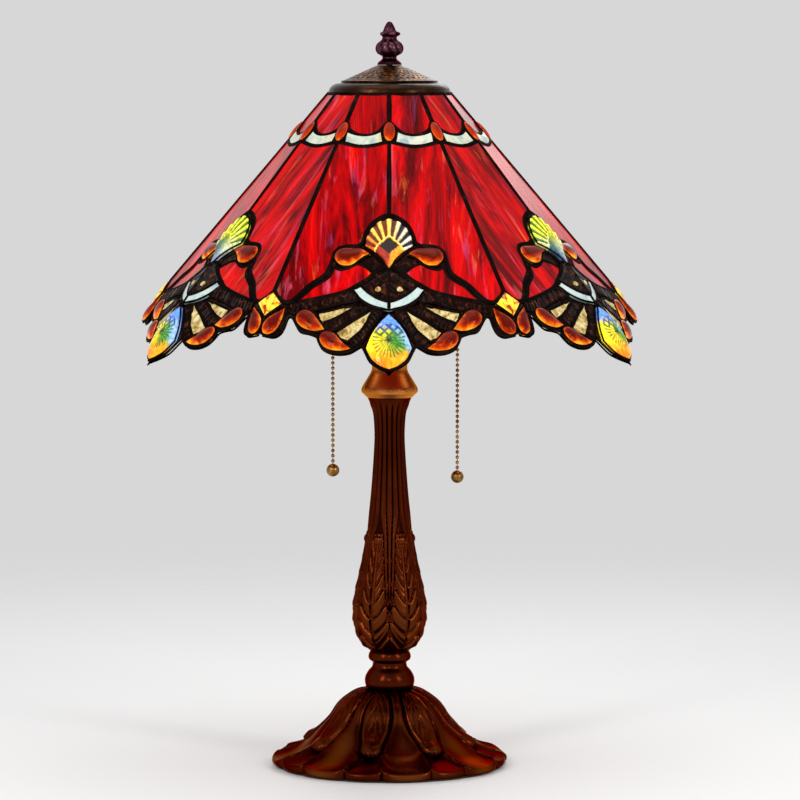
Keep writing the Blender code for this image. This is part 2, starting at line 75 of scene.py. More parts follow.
def makeStage():
    world = bpy.data.worlds.new("studio")
    world.use_nodes = True
    world.node_tree.nodes["Background"].inputs["Color"].default_value = (1.0, 1.0, 1.0, 1)
    world.node_tree.nodes["Background"].inputs["Strength"].default_value = lightSettings["world"]
    bpy.context.scene.world = world
    for name, place, wide, tall, power in lightSettings["lamps"]:
        data = bpy.data.lights.new(name, "AREA")
        data.shape = "RECTANGLE"
        data.size = wide
        data.size_y = tall
        data.energy = power
        lamp = bpy.data.objects.new(name, data)
        lamp.location = place
        beam = Vector(lightSettings["aim"]) - Vector(place)
        lamp.rotation_euler = beam.to_track_quat("-Z", "Y").to_euler()
        bpy.context.scene.collection.objects.link(lamp)
    bm = bmesh.new()
    bmesh.ops.create_circle(bm, cap_ends=True, segments=96, radius=lightSettings["floorRadius"])
    mesh = bpy.data.meshes.new("floor")
    bm.to_mesh(mesh)
    bm.free()
    floor = bpy.data.objects.new("floor", mesh)
    bpy.context.scene.collection.objects.link(floor)
    # the floor is clear away from the lamp, so that it has no edge
    material, nodes, links, shader = newMaterial("paleFloor")
    shader.inputs["Base Color"].default_value = (0.86, 0.86, 0.86, 1)
    shader.inputs["Roughness"].default_value = 0.55
    coords = nodes.new("ShaderNodeTexCoord")
    length = nodes.new("ShaderNodeVectorMath")
    length.operation = "LENGTH"
    fade = nodes.new("ShaderNodeMapRange")
    fade.interpolation_type = "SMOOTHSTEP"
    fade.inputs["From Min"].default_value = lightSettings["fadeFrom"]
    fade.inputs["From Max"].default_value = lightSettings["fadeTo"]
    clear = nodes.new("ShaderNodeBsdfTransparent")
    mix = nodes.new("ShaderNodeMixShader")
    links.new(coords.outputs["Object"], length.inputs[0])
    links.new(length.outputs["Value"], fade.inputs["Value"])
    links.new(fade.outputs["Result"], mix.inputs["Fac"])
    links.new(shader.outputs["BSDF"], mix.inputs[1])
    links.new(clear.outputs["BSDF"], mix.inputs[2])
    links.new(mix.outputs["Shader"], nodes["Material Output"].inputs["Surface"])
    mesh.materials.append(material)


# shader helpers

def newMaterial(name):
    material = bpy.data.materials.new(name)
    material.use_nodes = True
    nodes = material.node_tree.nodes
    return material, nodes, material.node_tree.links, nodes["Principled BSDF"]


def textureSpace(nodes, links, source="Object", scale=(1, 1, 1), turn=(0, 0, 0)):
    coords = nodes.new("ShaderNodeTexCoord")
    mapping = nodes.new("ShaderNodeMapping")
    mapping.inputs["Scale"].default_value = scale
    mapping.inputs["Rotation"].default_value = turn
    links.new(coords.outputs[source], mapping.inputs["Vector"])
    return mapping.outputs["Vector"]


def addNoise(nodes, links, space, scale, detail=4, rough=0.55, warp=0.0):
    tex = nodes.new("ShaderNodeTexNoise")
    tex.inputs["Scale"].default_value = scale
    tex.inputs["Detail"].default_value = detail
    tex.inputs["Roughness"].default_value = rough
    tex.inputs["Distortion"].default_value = warp
    links.new(space, tex.inputs["Vector"])
    return tex.outputs["Fac"]


def addRamp(nodes, links, value, stops):
    ramp = nodes.new("ShaderNodeValToRGB")
    while len(ramp.color_ramp.elements) < len(stops):
        ramp.color_ramp.elements.new(0.5)
    for element, (place, colour) in zip(ramp.color_ramp.elements, stops):
        element.position = place
        element.color = (*colour, 1)
    links.new(value, ramp.inputs["Fac"])
    return ramp.outputs["Color"]


def addRange(nodes, links, value, low, high, start=0.0, end=1.0):
    node = nodes.new("ShaderNodeMapRange")
    node.inputs["From Min"].default_value = low
    node.inputs["From Max"].default_value = high
    node.inputs["To Min"].default_value = start
    node.inputs["To Max"].default_value = end
    links.new(value, node.inputs["Value"])
    return node.outputs["Result"]


def addMix(nodes, links, factor, first, second):
    mix = nodes.new("ShaderNodeMix")
    mix.data_type = "RGBA"
    for socket, value in ((mix.inputs["Factor"], factor), (mix.inputs[6], first), (mix.inputs[7], second)):
        if isinstance(value, tuple):
            socket.default_value = (*value, 1)
        elif isinstance(value, float):
            socket.default_value = value
        else:
            links.new(value, socket)
    return mix.outputs[2]


def addBump(nodes, links, shader, height, strength, distance):
    bump = nodes.new("ShaderNodeBump")
    bump.inputs["Strength"].default_value = strength
    bump.inputs["Distance"].default_value = distance
    links.new(height, bump.inputs["Height"])
    links.new(bump.outputs["Normal"], shader.inputs["Normal"])


# mesh helpers

def finishPiece(name, bm, material, body, replaced, smooth):
    bmesh.ops.remove_doubles(bm, verts=bm.verts, dist=1e-6)
    mesh = bpy.data.meshes.new(name)
    bm.to_mesh(mesh)
    bm.free()
    mesh.materials.append(material)
    mesh.shade_smooth()
    mesh.set_sharp_from_angle(angle=math.radians(smooth))
    piece = bpy.data.objects.new(name, mesh)
    bpy.context.scene.collection.objects.link(piece)
    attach(piece, body)
    if replaced:
        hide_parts(*replaced)
    return piece


def curvePoint(before, a, b, after, t):
    # the point at share t of the smooth curve from a to b, which lie between before and after
    return tuple(0.5 * (2 * a[k] + (b[k] - before[k]) * t
                        + (2 * before[k] - 5 * a[k] + 4 * b[k] - after[k]) * t * t
                        + (3 * a[k] - before[k] - 3 * b[k] + after[k]) * t ** 3) for k in (0, 1))


def beyond(a, b):
    # as far past a as b is before it
    return 2 * a[0] - b[0], 2 * a[1] - b[1]


def smoothLoop(points, corners, steps):
    # a closed curve through the points; corners are the numbers of the points that stay sharp
    count = len(points)
    loop = []
    for i in range(count):
        a, b = points[i], points[(i + 1) % count]
        before = points[i - 1]
        after = points[(i + 2) % count]
        if i in corners:
            before = beyond(a, b)
        if (i + 1) % count in corners:
            after = beyond(b, a)
        loop += [curvePoint(before, a, b, after, step / steps) for step in range(steps)]
    return loop


def signedArea(outline):
    # twice the area, above zero where the outline runs anticlockwise
    return sum(a[0] * b[1] - b[0] * a[1] for a, b in zip(outline, outline[1:] + outline[:1]))


# the shade: twelve flat panels; layouts are in millimetres, distance from a seam and height

shade = {"top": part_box("heat_cap")[0].z / mm - 0.4, "topRadius": 49.0, "crease": 385.0,
         "coneSlope": 0.845, "skirtSlope": 0.685, "glass": 2.6,
         "proud": 0.2, "ribLift": 0.1, "ribThinner": 0.3}     # border pieces stand proud of the panes
halfPanel = math.pi / 12


def seamRadius(z):
    if z >= shade["crease"]:
        return shade["topRadius"] + shade["coneSlope"] * (shade["top"] - z)
    return seamRadius(shade["crease"]) + shade["skirtSlope"] * (shade["crease"] - z)


def widthAt(z):
    # of one panel, from seam to seam
    return 2 * seamRadius(z) * math.sin(halfPanel)


def onShade(x, z, lift, seam, soft=0.0):
    # soft rounds the fold at the seam for a jewel that sits across it
    facing = front + 2 * halfPanel * seam
    spread = math.hypot(x, soft) - soft
    side = x / math.hypot(x, soft) if x else 0.0
    out = Vector((math.cos(facing), math.sin(facing), 0))
    along = Vector((-math.sin(facing), math.cos(facing), 0))
    tilt = halfPanel * side
    blend = min(max((z - shade["crease"] + 4) / 8, 0), 1)
    slope = shade["skirtSlope"] + (shade["coneSlope"] - shade["skirtSlope"]) * blend
    normal = out * math.cos(tilt) + along * math.sin(tilt) + Vector((0, 0, slope * math.cos(halfPanel)))
    place = out * (seamRadius(z) - spread * math.sin(halfPanel)) + along * (x * math.cos(halfPanel))
    return (place + Vector((0, 0, z)) + normal.normalized() * lift) * mm


def plate(outline, lift, thickness):
    # the flat blank of a piece and its top face: outline in X and Y, thickness in Z
    bm = bmesh.new()
    points = outline if signedArea(outline) > 0 else outline[::-1]
    face = bm.faces.new([bm.verts.new((x, z, lift - thickness)) for x, z in points])
    verts, top = extrudeUp(bm, face)
    bmesh.ops.translate(bm, verts=verts, vec=(0, 0, thickness))
    return bm, top


def extrudeUp(bm, face):
    # the new points and the new face
    new = bmesh.ops.extrude_face_region(bm, geom=[face])["geom"]
    faces = [g for g in new if isinstance(g, bmesh.types.BMFace)]
    return [g for g in new if isinstance(g, bmesh.types.BMVert)], faces[0]


def topLevel(lift):
    # a point above this belongs to the top face of a blank
    return lift - 0.05


def reliefPlate(outline, cell, height, tint):
    # a blank whose face is cut into small cells, then raised and coloured by rules of its layout
    bm = plate(outline, shade["proud"], shade["glass"] + shade["proud"])[0]
    for axis, normal in ((0, (1, 0, 0)), (1, (0, 1, 0))):
        low, high = min(p[axis] for p in outline), max(p[axis] for p in outline)
        for i in range(1, int((high - low) / cell)):
            at = [0, 0, 0]
            at[axis] = low + cell * i
            bmesh.ops.bisect_plane(bm, geom=bm.verts[:] + bm.edges[:] + bm.faces[:], dist=1e-4, plane_co=at,
                                   plane_no=normal)
    layer = bm.verts.layers.float_color.new("tint")
    for v in bm.verts:
        v[layer] = (*tint(v.co.x, v.co.y), 1)
        if v.co.z > topLevel(shade["proud"]):
            edge = min(edgeDistance(outline, v.co.x, v.co.y) / 1.2, 1)         # the last 1.2 mm is rounded
            v.co.z += height(v.co.x, v.co.y) * math.sqrt(1 - (1 - edge) ** 2)
    return bm


def edgeDistance(outline, x, z):
    best = math.inf
    for i, (ax, az) in enumerate(outline):
        bx, bz = outline[(i + 1) % len(outline)]
        dx, dz = bx - ax, bz - az
        size = dx * dx + dz * dz
        t = min(max(((x - ax) * dx + (z - az) * dz) / size, 0), 1) if size else 0
        best = min(best, math.hypot(x - ax - t * dx, z - az - t * dz))
    return best


def growIn(bm, top, centre, scale, rise):
    # one step of a dome: pull the top face in towards the centre and lift it
    verts, face = extrudeUp(bm, top)
    bmesh.ops.delete(bm, geom=[top], context="FACES_ONLY")
    aboutCentre = Matrix.Translation((-centre[0], -centre[1], 0))
    bmesh.ops.scale(bm, verts=verts, vec=(scale, scale, 1), space=aboutCentre)
    bmesh.ops.translate(bm, verts=verts, vec=(0, 0, rise))
    return face


def widened(outline, amount):
    # the outline moved outwards by the amount
    count = len(outline)
    sign = 1 if signedArea(outline) > 0 else -1
    moved = []
    for i, (x, z) in enumerate(outline):
        before, after = outline[i - 1], outline[(i + 1) % count]
        first = Vector((x - before[0], z - before[1])).normalized()
        second = Vector((after[0] - x, after[1] - z)).normalized()
        along = (first + second).normalized() if (first + second).length > 0.2 else second
        bend = max(along.dot(second), 0.55)
        moved.append((x + sign * along.y * amount / bend, z - sign * along.x * amount / bend))
    return moved


def middleOf(outline):
    return sum(p[0] for p in outline) / len(outline), sum(p[1] for p in outline) / len(outline)


def cabochon(outline, height, steps, centre=None, lift=shade["proud"]):
    # a domed piece; its top draws in towards the centre
    bm, top = plate(outline, lift, shade["glass"] + lift)
    centre = centre or middleOf(outline)
    # the dome value carries painted light for the drop glass: bright at the low rim, deep where the piece
    # rises
    layer = bm.verts.layers.float.new("dome")
    previous, level = 1.0, 0.0
    for step in range(1, steps + 1):
        angle = math.pi / 2 * step / (steps + 0.6)
        size, rise = math.cos(angle), math.sin(angle) * height
        top = growIn(bm, top, centre, size / previous, rise - level)
        previous, level = size, rise
    bmesh.ops.poke(bm, faces=[top], offset=0)
    tall = max(abs(p[1] - centre[1]) for p in outline)
    for v in bm.verts:
        rise = min(max((v.co.z - lift) / height, 0), 1)
        v[layer] = rise * (0.72 + 0.42 * (v.co.y - centre[1]) / tall)          # painted light: deeper towards the top, so the lower part of each drop is painted brighter
    return bm


def ribbed(outline, spacing, height, direction):
    # cut the face into strips across the direction and raise every second cut
    lift = shade["ribLift"]
    bm = plate(outline, lift, shade["glass"] + lift - shade["ribThinner"])[0]
    values = [p[0] * direction[0] + p[1] * direction[1] for p in outline]
    low, high = min(values), max(values)
    count = max(2, int((high - low) / spacing))
    for i in range(1, count):
        at = low + (high - low) * i / count
        faces = [f for f in bm.faces if min(v.co.z for v in f.verts) > topLevel(lift)]
        geom = list({v for f in faces for v in f.verts}) + list({e for f in faces for e in f.edges}) + faces
        cut = bmesh.ops.bisect_plane(bm, geom=geom, dist=1e-5, plane_no=(*direction, 0),
                                     plane_co=(direction[0] * at, direction[1] * at, 0))["geom_cut"]
        if i % 2:
            for v in [g for g in cut if isinstance(g, bmesh.types.BMVert)]:
                v.co.z = max(v.co.z, lift + height)
    return bm


def flatPane(outline):
    return plate(outline, 0.0, shade["glass"])[0]


def cushioned(outline, rise, edge):
    # a blank whose face is set in from its edge and lifted
    bm, top = plate(outline, shade["proud"], shade["glass"] + shade["proud"])
    bmesh.ops.inset_region(bm, faces=[top], thickness=edge, depth=rise, use_even_offset=True)
    return bm


def layPieces(flat, bm, seams, mirror=False, soft=0.0, spread=0.0):
    # lay copies of a flat piece on the shade; mirror adds the copy on the other side of each seam, and
    # spread shifts each copy's place on the texture, so that no two look the same
    for copy, seam in enumerate(seams):
        for sign in ((1, -1) if mirror else (1,)):
            shift = spread * (2 * copy + (sign < 0))
            part = flat.copy()
            bmesh.ops.recalc_face_normals(part, faces=part.faces)
            layer = part.loops.layers.uv.new("layout")
            for face in part.faces:
                for loop in face.loops:
                    place = loop.vert.co
                    loop[layer].uv = (place.x * sign / 100 + shift, place.y / 100 + shift * 0.37)
            for v in part.verts:
                v.co = onShade(v.co.x * sign, v.co.y, v.co.z, seam, soft)
            if sign < 0:
                bmesh.ops.reverse_faces(part, faces=part.faces)
            scratch = bpy.data.meshes.new("scratch")
            part.to_mesh(scratch)
            part.free()
            bm.from_mesh(scratch)
            bpy.data.meshes.remove(scratch)
    flat.free()


motifSeams = range(0, 12, 2)
diamondSeams = range(1, 12, 2)
crownEdge = 0.5                      # how far a pane's edge stays from its seam, under the solder
jewelFold, smallFold = 9.0, 5.0      # how softly a piece that sits across a seam is bent there


def seamSide(z):
    # the far side of a pane
    return widthAt(z) - crownEdge


# outlines of one half of a motif; each is a list of points and the numbers of its sharp corners
borderLine = [(0.6, 449.6), (4, 449.0), (12.4, 444.5), (17.9, 437.5), (21, 429), (25.0, 426.6), (32.4, 426.2),
              (39.5, 424.8), (43.8, 421.0), (44.6, 417.7), (46.9, 411.7), (50.0, 405.7), (57.0, 401.0),
              (63.5, 397.0), (68.2, 392.8), (73.9, 387.8), (78.7, 384.8), (83.5, 384.6)]
scallopLine = [(0.3, 335.8), (8.2, 338.9), (15.2, 343.2), (19.2, 350.0), (21.8, 353.8), (25.5, 352.2),
               (31.0, 349.3), (38.0, 348.1), (45.5, 348.7), (52.0, 351.4), (55.2, 355.8), (57.3, 360.4),
               (63.5, 362.6), (70.0, 364.0), (73.6, 368.8), (77.0, 374.4), (80.4, 373.8), (82.8, 367.8),
               (86.0, 362.4), (91.0, 359.7), (96.5, 360.2)]
scallopEnd = 361.4                   # height of the scalloped edge at the next seam

glassPieces = {
    "bay": ([(12.9, 406.6), (18.0, 410.8), (25.0, 413.2), (31.0, 410.6), (38.5, 408.8), (43.4, 410.6),
             (46.8, 404.0), (54.0, 399.3), (60.5, 395.6), (66.2, 390.6), (73.4, 385.0), (56.0, 388.2),
             (36.0, 392.9), (26.7, 397.4), (17.6, 402.4)], (0, 5, 10)),
    "wing": ([(15.8, 420.8), (21.5, 423.7), (27.0, 424.0), (33.0, 424.2), (38.5, 423.4), (42.0, 420.6),
              (42.5, 416.6), (39.0, 412.9), (34.0, 412.0), (29.0, 412.9), (24.0, 416.4),
              (19.5, 419.4)], (0,)),
    "smile": ([(0.6, 385.0), (8.3, 387.2), (15.8, 391.0), (22.6, 396.2), (27.4, 394.0), (21.5, 387.8),
               (12.2, 383.2), (0.6, 380.9)], (0, 3, 4, 7)),
    "upperWedge": ([(26.6, 382.2), (41.0, 379.6), (55.4, 376.6), (54.8, 373.0), (52.7, 370.1), (46.0, 372.2),
                    (38.5, 375.6)], (0, 2, 4)),
    "lowerWedge": ([(13.6, 379.0), (28.0, 371.2), (41.4, 362.6), (38.4, 359.0), (32.5, 356.8), (26.5, 361.4),
                    (20.0, 367.6)], (0, 2, 4)),
    "upperDrop": ([(51.2, 365.0), (54.6, 369.4), (57.9, 373.4), (61.0, 376.8), (65.5, 378.4), (70.0, 377.4),
                   (72.9, 373.8), (72.2, 370.0), (68.5, 366.6), (63.5, 364.6), (58.0, 363.8)], (0,)),
    "lowerDrop": ([(30.6, 351.2), (36.2, 355.0), (40.8, 359.6), (44.6, 362.4), (49.6, 363.2), (53.4, 361.2),
                   (54.0, 356.8), (51.0, 352.6), (46.0, 350.4), (39.5, 349.8), (34.8, 350.2)], (0,)),
    "arm": ([(28.6, 394.2), (36.0, 391.2), (56.0, 386.6), (77.6, 383.0), (79.6, 378.6), (76.1, 376.6),
             (56.0, 379.4), (40.0, 384.0), (25.0, 386.4), (24.4, 389.0)], (0, 3, 5, 8)),
    "middleRib": ([(15.2, 380.9), (26.0, 380.6), (38.0, 374.0), (51.0, 368.9), (49.6, 366.0), (44.0, 364.4),
                   (29.0, 372.4)], (0, 3, 5)),
    "jewelRib": ([(5.2, 378.6), (12.0, 378.2), (18.6, 367.0), (30.6, 356.0), (27.0, 353.8), (21.9, 355.8),
                  (18.6, 359.6), (13.0, 368.4)], (0, 3, 5)),
    "eye": ([(6.2, 393.8), (8.4, 392.9), (10.8, 393.6), (10.2, 395.4), (8.4, 396.4), (6.6, 395.6)], ()),
    "hourglass": ([(0.7, 409.0), (5.0, 411.6), (10.6, 406.2), (14.6, 403.4), (24.5, 397.2), (21.0, 396.6),
                   (14.6, 392.0), (7.6, 388.6), (0.7, 386.6)], (0, 2, 4, 8)),
}


def bothSides(top, side, foot):
    # a piece that sits across a seam, from the points of its right side
    return [top, *side, foot] + [(-x, z) for x, z in side[::-1]]


seamPieces = {
    "shell": (bothSides((0, 446.9), [(6.0, 445.4), (11.6, 441.8), (15.8, 436.6), (18.2, 431.0), (19.0, 426.4),
                                     (11.4, 422.2), (4.9, 416.8), (2.0, 412.3)], (0, 409.5)), (5, 9, 13)),
    "jewel": (bothSides((0, 377.0), [(7.2, 370.0), (13.6, 361.2), (18.0, 351.6), (13.8, 344.2), (7.6, 339.4)],
                        (0, 336.6)), (0, 3, 6, 9)),
}
diamondPieces = {
    "diamond": (bothSides((0, 391.9), [(5.6, 387.6), (11.2, 383.0), (5.4, 378.2)], (0, 373.6)), (0, 2, 4, 6)),
    "tail": ([(14.2, 380.0), (14.6, 374.0), (14.2, 367.6), (11.8, 362.6), (7.4, 360.4), (3.0, 361.8),
              (1.0, 366.4), (2.2, 371.2), (6.0, 375.0), (10.2, 377.4)], (0,)),
}


ovalSettings = {"centre": (0, 512.8), "across": 4.7, "along": 7.5, "points": 20}


def ovalOutline():
    x, z = ovalSettings["centre"]
    across, along, count = ovalSettings["across"], ovalSettings["along"], ovalSettings["points"]
    angles = [math.tau * i / count for i in range(count)]
    return [(x + across * math.cos(angle), z + along * math.sin(angle)) for angle in angles]


def crownOutline():
    low, high = 520.6, 542.6
    width = widthAt(512)
    points = [(crownEdge, high), (crownEdge, low), (4.8, 516.6), (11.0, 511.6), (width / 2, 509.9),
              (width - 11.0, 511.6), (width - 4.8, 516.6), (seamSide(low), low), (seamSide(high), high)]
    return smoothLoop(points, (0, 1, 7, 8), 3)


def bandOutline():
    width = widthAt(507)
    points = [(6.6, 512.9), (12.9, 510.6), (width / 2, 509.7), (width - 12.9, 510.6), (width - 6.6, 512.9),
              (width - 5.2, 504.9), (width - 13, 502.8), (width / 2, 501.9), (13, 502.8), (5.2, 504.9)]
    return smoothLoop(points, (0, 4, 5, 9), 3)


def mainOutline():
    width = widthAt(503)
    top = [(width / 2, 501.8), (12.5, 502.7), (4.2, 504.6), (crownEdge, 505.2)]
    bottom = [(crownEdge, 449.9)] + borderLine[1:]
    end = [(88.6, 389.0), (seamSide(393.2), 393.2), (seamSide(505.2), 505.2), (width - 4.2, 504.6),
           (width - 12.5, 502.7)]
    points = top + bottom + end
    sharp = (top[3], bottom[0], borderLine[4], borderLine[8], borderLine[-1], end[1], end[2])
    return smoothLoop(points, [points.index(p) for p in sharp], 2)


def webOutline():
    # half a motif's field, from the seam to the next one
    return [(0.0, 449.6), *[(x, z - 0.4) for x, z in borderLine], (widthAt(391.5), 391.5),
            (widthAt(scallopEnd), scallopEnd), *scallopLine[::-1], (0.0, 332.6)]


glassCuts = {"crown": crownOutline(), "band": bandOutline(), "main": mainOutline()}
growth = {"smile": 0.9, "wing": 0.4, "upperDrop": 0.4, "lowerDrop": 0.4, "upperWedge": 0.4, "lowerWedge": 0.4}
glassCuts.update({name: widened(smoothLoop(points, corners, 3), growth.get(name, 0.0))
                  for name, (points, corners) in glassPieces.items()})
seamCuts = {name: smoothLoop(points, corners, 4) for name, (points, corners) in seamPieces.items()}
diamondCuts = {name: smoothLoop(points, corners, 3) for name, (points, corners) in diamondPieces.items()}


def makeFlatTubes(runs):
    # solder beads along the outlines, flattened, still in the layout
    curve = bpy.data.curves.new("beads", "CURVE")
    curve.dimensions = "3D"
    curve.bevel_depth = 1.0
    curve.bevel_resolution = 1
    for outline, radius, closed in runs:
        spline = curve.splines.new("POLY")
        spline.points.add(len(outline) - 1)
        spline.use_cyclic_u = closed
        for slot, (x, z) in zip(spline.points, outline):
            slot.co = (x, z, 0, 1)
            slot.radius = radius
    holder = bpy.data.objects.new("beads", curve)
    bpy.context.scene.collection.objects.link(holder)
    mesh = bpy.data.meshes.new_from_object(holder.evaluated_get(bpy.context.evaluated_depsgraph_get()))
    bm = bmesh.new()
    bm.from_mesh(mesh)
    bpy.data.objects.remove(holder)
    bpy.data.curves.remove(curve)
    bpy.data.meshes.remove(mesh)
    bmesh.ops.scale(bm, verts=bm.verts, vec=(1, 1, leading["flatness"]))
    return bm


leading = {"seam": 1.5, "line": 1.05, "frame": 1.1, "edge": 1.0, "oval": 1.3, "flatness": 0.62,
           "outside": 0.15, "inside": -2.7}


def makeLeading(material):
    # runs are an outline, the bead's radius and whether it closes
    panelRuns = [(outline, leading["seam" if name in ("crown", "main") else "line"], True)
                 for name, outline in glassCuts.items() if name != "eye"]
    scallop = smoothLoop(scallopLine + [(widthAt(scallopEnd), 361.6)], (0, len(scallopLine)), 3)
    panelRuns.append((scallop[:-3], leading["edge"], False))
    seamRuns = [(outline, leading["frame"], True) for outline in seamCuts.values()]
    ovalRun = (ovalOutline(), leading["oval"], True)
    diamondRun = (diamondCuts["diamond"], leading["frame"], True)
    tailRun = (diamondCuts["tail"], leading["line"], True)
    for face in ("outside", "inside"):
        bm = bmesh.new()
        for runs, seams, mirror, soft in ((panelRuns, motifSeams, True, 0.0),
                                          (seamRuns, motifSeams, False, jewelFold),
                                          ([diamondRun, ovalRun], diamondSeams, False, smallFold),
                                          ([ovalRun], motifSeams, False, smallFold),
                                          ([tailRun], diamondSeams, True, 0.0)):
            flat = makeFlatTubes(runs)
            bmesh.ops.translate(flat, verts=flat.verts, vec=(0, 0, leading[face]))
            layPieces(flat, bm, seams, mirror, soft)
        finishPiece("leading_" + face, bm, material, "shade",
                    ("shade_leading",) if face == "outside" else (), 60)
    print("leading done")


filler = {"lift": -0.5, "thickness": 0.9}


def makeWeb(material):
    # dark filler glass behind the small pieces of the border and of the band
    bm = bmesh.new()
    strip = [(0, 503.5), (0, 519), (8, 515.5), (widthAt(511) / 2, 510.9), (widthAt(515) - 8, 515.5),
             (widthAt(519), 519), (widthAt(503.5), 503.5), (widthAt(502) / 2, 502)]
    for outline in (webOutline(), strip):
        layPieces(plate(outline, filler["lift"], filler["thickness"])[0], bm, motifSeams, True)
    finishPiece("border_filler", bm, material, "shade",
                ["border_motif_%d" % (i + 1) for i in range(6)], 30)


def makeGlass(materials):
    for name, spread in (("crown", 1.71), ("main", 2.93), ("bay", 1.37)):
        nodes = ["%s_pane_%02d" % (name, i + 1) for i in range(12)] if name != "bay" else ()
        bm = bmesh.new()
        layPieces(flatPane(glassCuts[name]), bm, motifSeams, True, 0.0, spread)
        finishPiece(name + "_glass", bm, materials["red"], "shade", nodes, 30)
    cuts = glassCuts
    onPanels = [("band_glass", cushioned(cuts["band"], 0.9, 1.2), "white"),
                ("wing_drops", cabochon(cuts["wing"], 3.2, 5, (36.0, 418.0)), "amber"),
                ("crescents", flatPane(cuts["smile"]), "pearl"),
                ("upper_wedges", ribbed(cuts["upperWedge"], 1.5, 0.45, (0.25, 0.97)), "wedge"),
                ("lower_wedges", ribbed(cuts["lowerWedge"], 1.5, 0.45, (0.55, 0.83)), "wedge"),
                ("upper_drops", cabochon(cuts["upperDrop"], 3.2, 5, (66.0, 371.6)), "amber"),
                ("lower_drops", cabochon(cuts["lowerDrop"], 3.2, 5, (47.6, 356.8)), "amber"),
                ("clear_eyes", cabochon(cuts["eye"], 0.8, 2, lift=1.0), "wedge"),
                ("arm_glass", ribbed(cuts["arm"], 1.7, 0.8, (0.97, 0.25)), "dark"),
                ("middle_ribs", ribbed(cuts["middleRib"], 1.6, 0.8, (0.9, -0.45)), "dark"),
                ("jewel_ribs", ribbed(cuts["jewelRib"], 1.6, 0.8, (0.75, -0.66)), "dark"),
                ("hourglass_ribs", ribbed(cuts["hourglass"], 1.6, 0.8, (0.5, 0.87)), "dark")]
    for name, flat, kind in onPanels:
        placeGlass(name, flat, materials[kind], motifSeams, True, 0.0, 0.83, 35)
    diamond = cabochon(diamondCuts["diamond"], 1.6, 3, (0, 383))
    tail = cabochon(diamondCuts["tail"], 3.2, 5, (8.0, 367.6))
    oval = cabochon(ovalOutline(), 2.4, 4, ovalSettings["centre"])
    # name, flat piece, finish, seams, mirrored, softness of the fold, texture spread, smooth angle
    acrossSeams = [("shell_jewels_amber", makeShell(shellTint), "shell", (0, 6), False, jewelFold, 0.0, 24),
                   ("shell_jewels_green", makeShell(greenShellTint), "shell", (2, 4, 8, 10), False,
                    jewelFold, 0.0, 24),
                   ("hanging_jewels", makeJewel(), "jewel", motifSeams, False, jewelFold, 0.0, 24),
                   ("diamonds", diamond, "diamond", diamondSeams, False, smallFold, 0.0, 24),
                   ("tail_drops", tail, "amber", diamondSeams, True, 0.0, 0.61, 24),
                   ("oval_cabochons", oval, "ovals", range(12), False, smallFold, 0.41, 35)]
    for name, flat, kind, *places in acrossSeams:
        placeGlass(name, flat, materials[kind], *places)
    print("glass done")


def placeGlass(name, flat, material, seams, mirror, soft, spread, smooth):
    bm = bmesh.new()
    layPieces(flat, bm, seams, mirror, soft, spread)
    finishPiece(name, bm, material, "shade", (), smooth)


shellSettings = {"ribs": 11, "spread": math.radians(200), "heart": (0.0, 420.0), "ribHeight": 0.75,
                 "dome": 1.6, "bowlHeart": 426.0, "bowl": 22, "cell": 0.62}


def archDistance(x, z):
    # how far outside the inner arch a point lies; negative inside
    if z > 426.4:
        return 0.637 * abs(x) + 0.771 * (z - 433.5)
    return 0.832 * (abs(x) - 8.6) + 0.555 * (z - 426.4)


def shellRib(x, z):
    angle = math.atan2(x, z - shellSettings["heart"][1])
    return math.cos(angle / shellSettings["spread"] * shellSettings["ribs"] * math.tau)


def shellHeight(x, z):
    # ribs outside the arch, a raised arch, and a shallow valley inside it
    reach = math.hypot(x, z - shellSettings["bowlHeart"]) / shellSettings["bowl"]
    dome = shellSettings["dome"] * max(0, 1 - reach ** 2)
    arch = archDistance(x, z)
    if arch > 0.5:
        return 0.6 + dome + shellSettings["ribHeight"] * shellRib(x, z) * min((arch - 0.5) / 2, 1)
    if arch > -0.7:
        return 1.2 + dome
    return 0.35 + 0.12 * abs(x) + dome * 0.4


def mixTint(first, second, share):
    share = min(max(share, 0), 1)
    return tuple(a + (b - a) * share for a, b in zip(first, second))


def greenShellTint(x, z):
    # yellow and green ribs and arch that turn blue towards the point
    arch = archDistance(x, z)
    rise = (z - 418) / 20
    shine = mixTint((0.45, 0.58, 0.80), (0.80, 0.72, 0.04), rise + 0.35)
    dark = mixTint((0.01, 0.03, 0.22), (0.05, 0.16, 0.01), rise + 0.4)
    if arch > 0.5:
        return mixTint(dark, shine, (shellRib(x, z) + 0.35) * 1.2)
    return mixTint(dark, shine, 0.75 if arch > -0.7 else 0.30 + x / 16)


def shellTint(x, z):
    # amber ribs that redden to the left, a yellow arch, a dark diamond and an orange point
    arch = archDistance(x, z)
    if arch > 0.5:
        rib = shellRib(x, z)
        shine = mixTint((0.95, 0.62, 0.08), (0.80, 0.72, 0.55), x / 14)
        shine = mixTint(shine, (0.80, 0.10, 0.01), (-x - 8) / 9 + (430 - z) / 8)
        dark = mixTint((0.14, 0.02, 0.004), (0.01, 0.008, 0.02), x / 8)
        return mixTint(dark, shine, (rib + 0.1) * 1.4)
    if arch > -0.7:
        return (0.98, 0.68, 0.10)
    if z > 420.6 + 0.72 * abs(x):
        return (0.012, 0.004, 0.003)
    return mixTint((0.30, 0.02, 0.004), (0.85, 0.28, 0.015), 0.5 + x / 2 + (414 - z) / 10)


def makeShell(tint):
    return reliefPlate(seamCuts["shell"], shellSettings["cell"], shellHeight, tint)


jewelSettings = {"heart": (0.0, 356.5), "rays": 13, "rise": 3.4, "domeReach": 21, "pyramid": 6.6, "cut": 0.9,
                 "cutReach": 13.0, "cell": 0.6}


